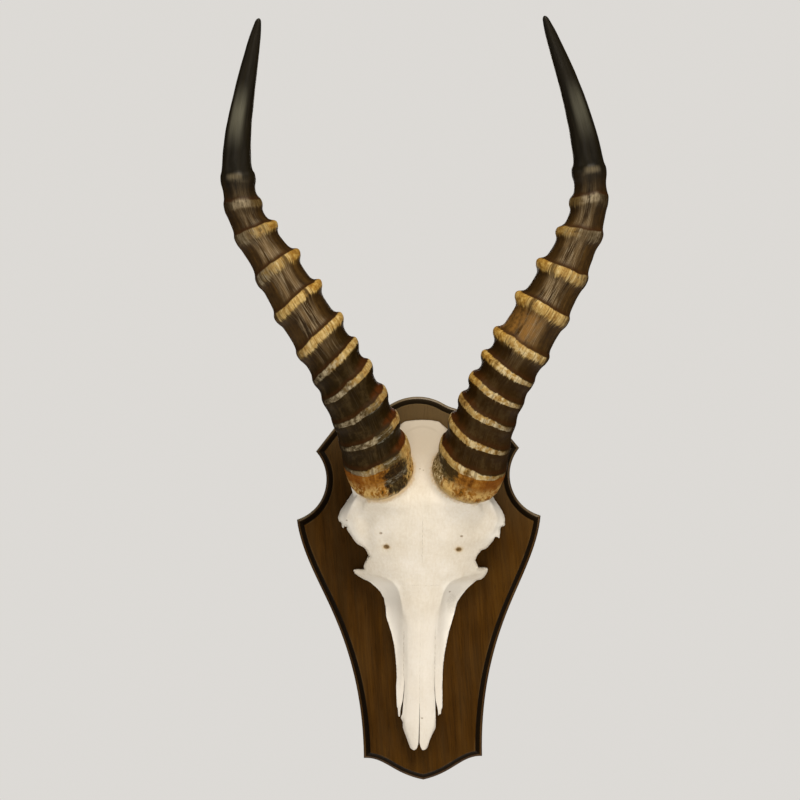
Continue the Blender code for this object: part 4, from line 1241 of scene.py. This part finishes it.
# %% What the bone's material reads
bleached, wire = new_material("bleached_bone")
place = wire.attribute("skull_place", "Vector")
across, _, up = place.parts()
to_horn, to_outline = wire.attribute("to_horn"), wire.attribute("to_outline")
broad = place.noise(22.0, 2.0, 0.5)
fine = place.noise(2.2, 3.0, 0.6)
grain = place.noise(0.5, 2.0, 0.6)
strands = place.stretch(1.0, 1.0, 0.08).noise(1.4, 3.0, 0.6)
wander = place.stretch(0.0, 0.0, 1.0).noise(2.2, 3.0, 0.7)
cross = place.stretch(1.0, 0.0, 0.0).noise(1.8, 3.0, 0.7)
sponge = place.cells(0.9, "F1")
print("nodes so far:", len(bleached.node_tree.nodes))

# %% The white of the bone
# Painted light: the brows' rim and the hollows beside the nose are painted whiter, where they face away
# from the lamps.
rim_painted_light = to_outline.step(9.0, 2.0) * up.step(30.0, 45.0)
cheek_painted_light = abs(across).step(13.0, 20.0) * up.step(12.0, 4.0)
# Behind the horns, from 70 mm up, the bone is painted darker and browner.
duller = up.step(70.0, 112.0)
# Painted shade: a faint dark arc along the nuchal crest at the top.
crest_line = abs(up - 126.8 + across ** 2.0 * 0.03).step(1.6, 0.2) * abs(across).step(14.0, 8.0)
snout = up.step(0.0, -30.0)
white = (0.45 * broad + 0.3 * fine + 0.25 * strands).ramp(
    (0.36, (224, 213, 194)), (0.5, (233, 224, 208)), (0.64, (240, 233, 221)))
white = white.under(
    (rim_painted_light.at_least(cheek_painted_light) * 0.75, (251, 246, 236)),
    (duller * 0.88, (194, 179, 156)),
    (crest_line * 0.16, (150, 132, 104)),
    (snout * 0.45, (241, 235, 226)),
    (snout * strands.step(0.55, 0.75) * 0.25, (214, 200, 172)))
print("nodes with the white:", len(bleached.node_tree.nodes))

# %% Seams down the forehead, across and beside the nose, and brown rings round the nerve holes
seam = abs(across - 0.3 + (wander - 0.5) * 2.6).step(0.35, 0.05) * up.step(18.0, 28.0) * up.step(64.0, 52.0)
seam = seam * fine.step(0.35, 0.6)
nose_seam = abs(up - 6.0 + (cross - 0.5) * 4.0).step(0.35, 0.05) * abs(across).step(16.0, 10.0)
nose_seam = nose_seam * fine.step(0.4, 0.6)
lengthwise = up.step(-24.0, -36.0) * fine.step(0.38, 0.6)
beside = abs(abs(across + 0.8) - 12.0 + (wander - 0.5) * 1.6).step(0.35, 0.05) * up.step(-70.0, -62.0)
between = abs(across + 0.3 + (wander - 0.5) * 1.2).step(0.3, 0.05) * up.step(-90.0, -84.0)
seams = seam * 0.45 + nose_seam * 0.35 + lengthwise * (beside * 0.5 + between * 0.3)
colour = seams.mix(white, (140, 120, 92))
for hole_across, hole_up, radius in NERVE_HOLES:
    far = wire.math("SQRT", (0.75 * (across - hole_across)) ** 2.0 + (up - hole_up) ** 2.0)
    large = radius > 1.0
    if large:
        halo = (far + (fine - 0.5) * 2.0).step(radius * 2.6, radius * 0.9)
        colour = (halo * 0.6).mix(colour, (196, 164, 104))
    core = far.step(radius * 1.7, radius * 0.9) * (0.9 if large else 0.55)
    colour = core.mix(colour, (122, 92, 44))
print("nodes with the seams:", len(bleached.node_tree.nodes))

# %% Stains at the horns, spongy broken edges, and the bone dressed
stain = (to_horn + (fine - 0.5) * 4.0 + (broad - 0.5) * 6.0).step(4.6, 0.6)
near_pit = ((across - 24.0) / 4.0) ** 2.0 + ((up + 9.5) / 8.0) ** 2.0
crumbly = (near_pit + (fine - 0.5) * 2.0).step(1.2, 0.5)
broken = to_outline.step(2.4, 0.2) * up.step(4.0, 9.0) * up.step(66.0, 58.0)
broken = broken.at_least(crumbly * 0.4)
strip_edge = to_outline.step(1.3, 0.1) * up.step(-5.0, -20.0) * fine.step(0.45, 0.65)
colour = colour.under(
    (stain * 0.75, (196, 164, 112)),
    (broken * sponge.step(0.25, 0.6) * 0.45, (176, 164, 142)),
    (strip_edge * 0.4, (176, 156, 122)))
skin_bump = (0.5 * fine + 0.5 * grain).bump(0.25, 0.3 * MM)
seam_bump = ((seams * -1.0) + strands * snout * 0.4).bump(0.6, 0.4 * MM, skin_bump)
pore_bump = (sponge * broken).bump(0.8, 0.8 * MM, seam_bump)
finish_shader(bleached, Base_Color=colour, Roughness=0.62 + 0.18 * fine + 0.1 * broken, Normal=pore_bump,
              Specular_IOR_Level=0.35)
dress(bone, bleached, 55.0)

# %% [markdown]
# ## The shield
#
# The board is cut to an outline of arcs and sweeps and then run round with a moulding bit. Here the
# outline is moved inwards again and again while it rises, and the lines are joined into strips.
# Each line is one point of the moulding's profile, so the profile is a short list: how far in, and
# how high. Blender's own inset crosses itself at sharp corners, so a few lines of code keep the
# points on the mitre there, as the joiner's chisel would.

# %% Measurements of the shield, half of the outline in millimetres from its middle
SHIELD_TOP = 150.0
ARCH_RADIUS = 40.0
SHOULDER_HANDLES = ((32.0, 136.5), (50.0, 139.0))
SHOULDER_END = (62.0, 130.2)
HOLLOW_CENTRE = (105.2, 87.0)
HOLLOW_RADIUS = 33.4
FLANK = ((93.5, 35.0), (82.5, 13.0), (74.3, -5.0))
WAIST = ((60.0, -36.0), (46.0, -75.0), (46.3, -132.3))
FOOT = ((30.0, -131.5), (24.0, -145.0), (0.0, -150.0))
EDGE_HEIGHT = 9.6
MOULDING = (
    (0.16, 10.0), (0.5, 10.4), (1.1, 10.8), (1.7, 11.0), (2.2, 11.2), (2.9, 11.65), (3.5, 12.2),
    (4.1, 12.95), (4.6, 13.9), (5.0, 15.0), (5.2, 16.1), (5.35, 17.2), (5.45, 17.6), (5.65, 17.85),
    (6.0, 17.97), (6.5, 18.0))


def arc(centre, radius, start, end, count):
    turns = np.radians(np.linspace(start, end, count))
    return [(centre[0] + radius * math.cos(a), centre[1] + radius * math.sin(a)) for a in turns]


def sweep(start, first, second, end, count):
    """A curve from start to end that leaves towards first and arrives from second."""
    t = np.linspace(0.0, 1.0, count)[:, None]
    start, first, second, end = (np.array(point, float) for point in (start, first, second, end))
    line = (1 - t) ** 3 * start + 3 * (1 - t) ** 2 * t * first
    line = line + 3 * (1 - t) * t ** 2 * second + t ** 3 * end
    return [tuple(point) for point in line]


half = arc((0.0, SHIELD_TOP - ARCH_RADIUS), ARCH_RADIUS, 90.0, 60.0, 12)
half += sweep(half[-1], *SHOULDER_HANDLES, SHOULDER_END, 16)[1:]
half += arc(HOLLOW_CENTRE, HOLLOW_RADIUS, 140.0, 253.0, 30)
half += sweep(half[-1], *FLANK, 14)[1:]
half += sweep(half[-1], *WAIST, 22)[1:]
half += sweep(half[-1], *FOOT, 18)[1:]
shield_outline = half + [(-x, z) for x, z in half[1:-1]][::-1]
print("shield outline points:", len(shield_outline))

# %% Board with a moulded edge
def unit(vectors):
    return vectors / np.linalg.norm(vectors, axis=-1, keepdims=True)


def inset_outline(points, depth):
    """The outline moved inwards. Points that would cross near a sharp corner gather on its mitre."""
    into, out = unit(points - np.roll(points, 1, axis=0)), unit(np.roll(points, -1, axis=0) - points)
    normal_in, normal_out = (np.stack([way[:, 1], -way[:, 0]], axis=-1) for way in (into, out))
    mitre = (normal_in + normal_out) / (1.0 + (normal_in * normal_out).sum(axis=1))[:, None]
    moved = points + depth * mitre
    turn = into[:, 0] * out[:, 1] - into[:, 1] * out[:, 0]
    sharp = np.where(turn < -0.3)[0]
    edge = np.roll(points, -1, axis=0) - points
    reach = moved[:, None, :] - points[None, :, :]
    share = np.clip((reach * edge).sum(axis=2) / (edge ** 2).sum(axis=1), 0.0, 1.0)
    gap = np.linalg.norm(reach - share[:, :, None] * edge, axis=2).min(axis=1)
    for crossed in np.where(gap < depth - 0.02)[0]:
        moved[crossed] = moved[sharp[np.abs(sharp - crossed).argmin()]]
    return moved


def at_height(outline, height):
    """A flat outline (across, up) as a section at a height above the wall."""
    return np.stack([outline[:, 0], np.full(len(outline), -height), outline[:, 1]], axis=-1)


base_line = np.array(shield_outline)
sections = [at_height(base_line, height) for height in (0.0, EDGE_HEIGHT - 0.4, EDGE_HEIGHT)]
sections += [at_height(inset_outline(base_line, inwards), height) for inwards, height in MOULDING]
bm = joined_sections(sections)
bmesh.ops.remove_doubles(bm, verts=bm.verts, dist=0.02 * MM)
bmesh.ops.dissolve_degenerate(bm, dist=0.01 * MM, edges=bm.edges)
print("open edges on the board:", sum(not edge.is_manifold for edge in bm.edges))
board = add_object("moulded_board", bm)
print("board:", len(board.data.polygons), "faces")

# %% [markdown]
# The keyhole in the back is the only way the trophy hangs: a round entry for a screw's head, and
# above it a slot that is narrow at the surface and wide inside, so the head can't pull out.


# %% Keyhole and screw holes
def block(name, size, middle):
    bm = bmesh.new()
    bmesh.ops.create_cube(bm, size=1.0)
    bm.transform(Matrix.Translation(Vector(middle) * MM) @ Matrix.Diagonal((*[s * MM for s in size], 1.0)))
    return add_object(name, bm)


keyhole = [turned("entry", ((5.0, -1.0), (5.0, 9.0)), 112.0, 40),
           turned("undercut_end", ((4.98, 3.2), (4.98, 9.0)), 120.02, 40),
           block("neck", (4.8, 5.2, 13.0), (0.0, -1.6, 118.5)),
           block("undercut", (9.96, 5.8, 8.0), (0.0, -6.1, 116.0))]
carve(board, keyhole + screw_holes())

# %% [markdown]
# ## Stained walnut, the material
#
# The board is stained nearly to black in the hollow of the moulding, where the stain gathers, and
# painted shade darkens it further there. It is rubbed paler on the edges that hands and cloths
# reach, with a painted highlight on them too, and its upper part has a painted sheen. The grain runs
# up and down. Noise that is stretched a lot along the grain gives its figure, a finer one gives the
# open pores, and the depth from the back tells the material where on the moulding it is.


# %% The grain and the pores of the wood
def place_in_mm(wire):
    """The place on a piece in millimetres, for a material that needs no stored numbers."""
    return wire.node("ShaderNodeTexCoord", None, None, "Object").stretch(1.0 / MM, 1.0 / MM, 1.0 / MM)


walnut, wire = new_material("stained_walnut")
spot = place_in_mm(wire)
across, behind, up = spot.parts()
depth = behind * -1.0
warp = spot.stretch(1.0, 1.0, 0.3).noise(40.0, 2.0, 0.5)
lean = wire.joined(across + up * 0.05 + warp * 9.0, behind, up * 0.035)
figure = lean.noise(5.5, 4.0, 0.55)
lines = lean.noise(1.3, 3.0, 0.6)
pores = lean.stretch(1.0, 1.0, 1.4).noise(0.55, 2.0, 0.5).step(0.60, 0.72)
patch = spot.noise(45.0, 2.0, 0.5)
wear_and_highlight = lean.stretch(1.0, 1.0, 6.0).noise(9.0, 3.0, 0.6).step(0.35, 0.7)
wood = (0.4 * figure + 0.35 * lines + 0.25 * patch + 0.0005 * across).ramp(
    (0.34, (46, 27, 3)), (0.46, (58, 34, 4)), (0.56, (69, 42, 6)), (0.68, (82, 52, 10)))
print("nodes with the grain:", len(walnut.node_tree.nodes))

# %% Stain and painted shade in the moulding, wear and painted highlights on its edges, a painted sheen, and the board dressed
# A painted sheen: the board is paler and greyer towards the top and the right.
fade_and_sheen = (up + across * 0.35).step(55.0, 165.0)
# The hollow of the moulding is near black: stain that gathers there, and painted shade.
moulding = depth.step(10.96, 11.12) * depth.step(17.9, 17.5)
side = depth.step(11.0, 10.0) * depth.step(0.2, 0.8)
# The arrises are paler: wear, and a painted highlight, most on the outer lip where it faces up.
inner_edge = depth.step(17.4, 17.8) * depth.step(18.02, 17.96)
outer_edge = depth.step(9.4, 9.8) * depth.step(11.06, 10.9)
upward_highlight = wire.node("ShaderNodeNewGeometry", None, None, "Normal").parts()[2].step(0.1, 0.55)
rear = depth.step(0.4, 0.05)
wood = wood.under(
    (fade_and_sheen * 0.85, (102, 84, 56)),
    (pores * 0.5, (28, 15, 3)),
    (moulding * 0.95, (14, 8, 3)),
    (side * 0.8, (27, 16, 6)),
    (wear_and_highlight * (inner_edge * 0.35 + outer_edge * 0.25), (112, 88, 54)),
    (outer_edge * upward_highlight * (0.4 + 0.3 * wear_and_highlight), (138, 124, 100)),
    (rear * 0.6, (104, 72, 38)))
rough = 0.42 + 0.14 * lines + 0.10 * patch + 0.2 * rear + 0.15 * pores
grooves = (pores * -1.0 + 0.3 * lines).bump(0.35, 0.15 * MM)
finish_shader(walnut, Base_Color=wood, Roughness=rough, Normal=grooves, Coat_Weight=outer_edge * 0.35,
              Coat_Roughness=0.3, Specular_IOR_Level=0.08, Specular_Tint=(1.0, 0.75, 0.45, 1.0))
dress(board, walnut, 38.0)

# %% [markdown]
# ## Zinc-plated steel, the material
#
# The screws have a thin yellow zinc coat, bright on the flats and dull in the slot. A fine noise
# round the head stands for the tool marks of the heading die.


# %% Screw material
zinc, wire = new_material("yellow_zinc")
spot = place_in_mm(wire)
clouds = spot.noise(1.6, 3.0, 0.6)
specks = spot.noise(0.25, 2.0, 0.6)
plated = clouds.ramp((0.35, (150, 132, 92)), (0.5, (196, 178, 130)), (0.68, (206, 178, 150)))
plated = plated.under((specks.step(0.62, 0.72) * 0.6, (104, 88, 62)))
finish_shader(zinc, Base_Color=plated, Roughness=0.26 + 0.25 * clouds, Normal=specks.bump(0.3, 0.05 * MM),
              Metallic=1.0)
for screw in screws.values():
    dress(screw, zinc, 30.0)

# %% [markdown]
# ## Put the pieces in place
#
# Every piece rides on the trophy's one body, and the solid that it stands for is hidden.

# %% Riders and stand-ins
PIECES = (
    (board, "shield", "shield_wood"), (bone, "skull", "bone"),
    (horns["left"], "horn_left", "horn_sheath"), (horns["right"], "horn_right", "horn_sheath"),
    (screws["upper"], "screw_upper", "screw_steel"), (screws["lower"], "screw_lower", "screw_steel"))
for piece, node, finish in PIECES:
    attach(piece, "root")
    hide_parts(node)
    piece.data.calc_loop_triangles()
    print(piece.name, "triangles:", len(piece.data.loop_triangles))

# %% Bring the scene up to date
bpy.context.view_layer.update()
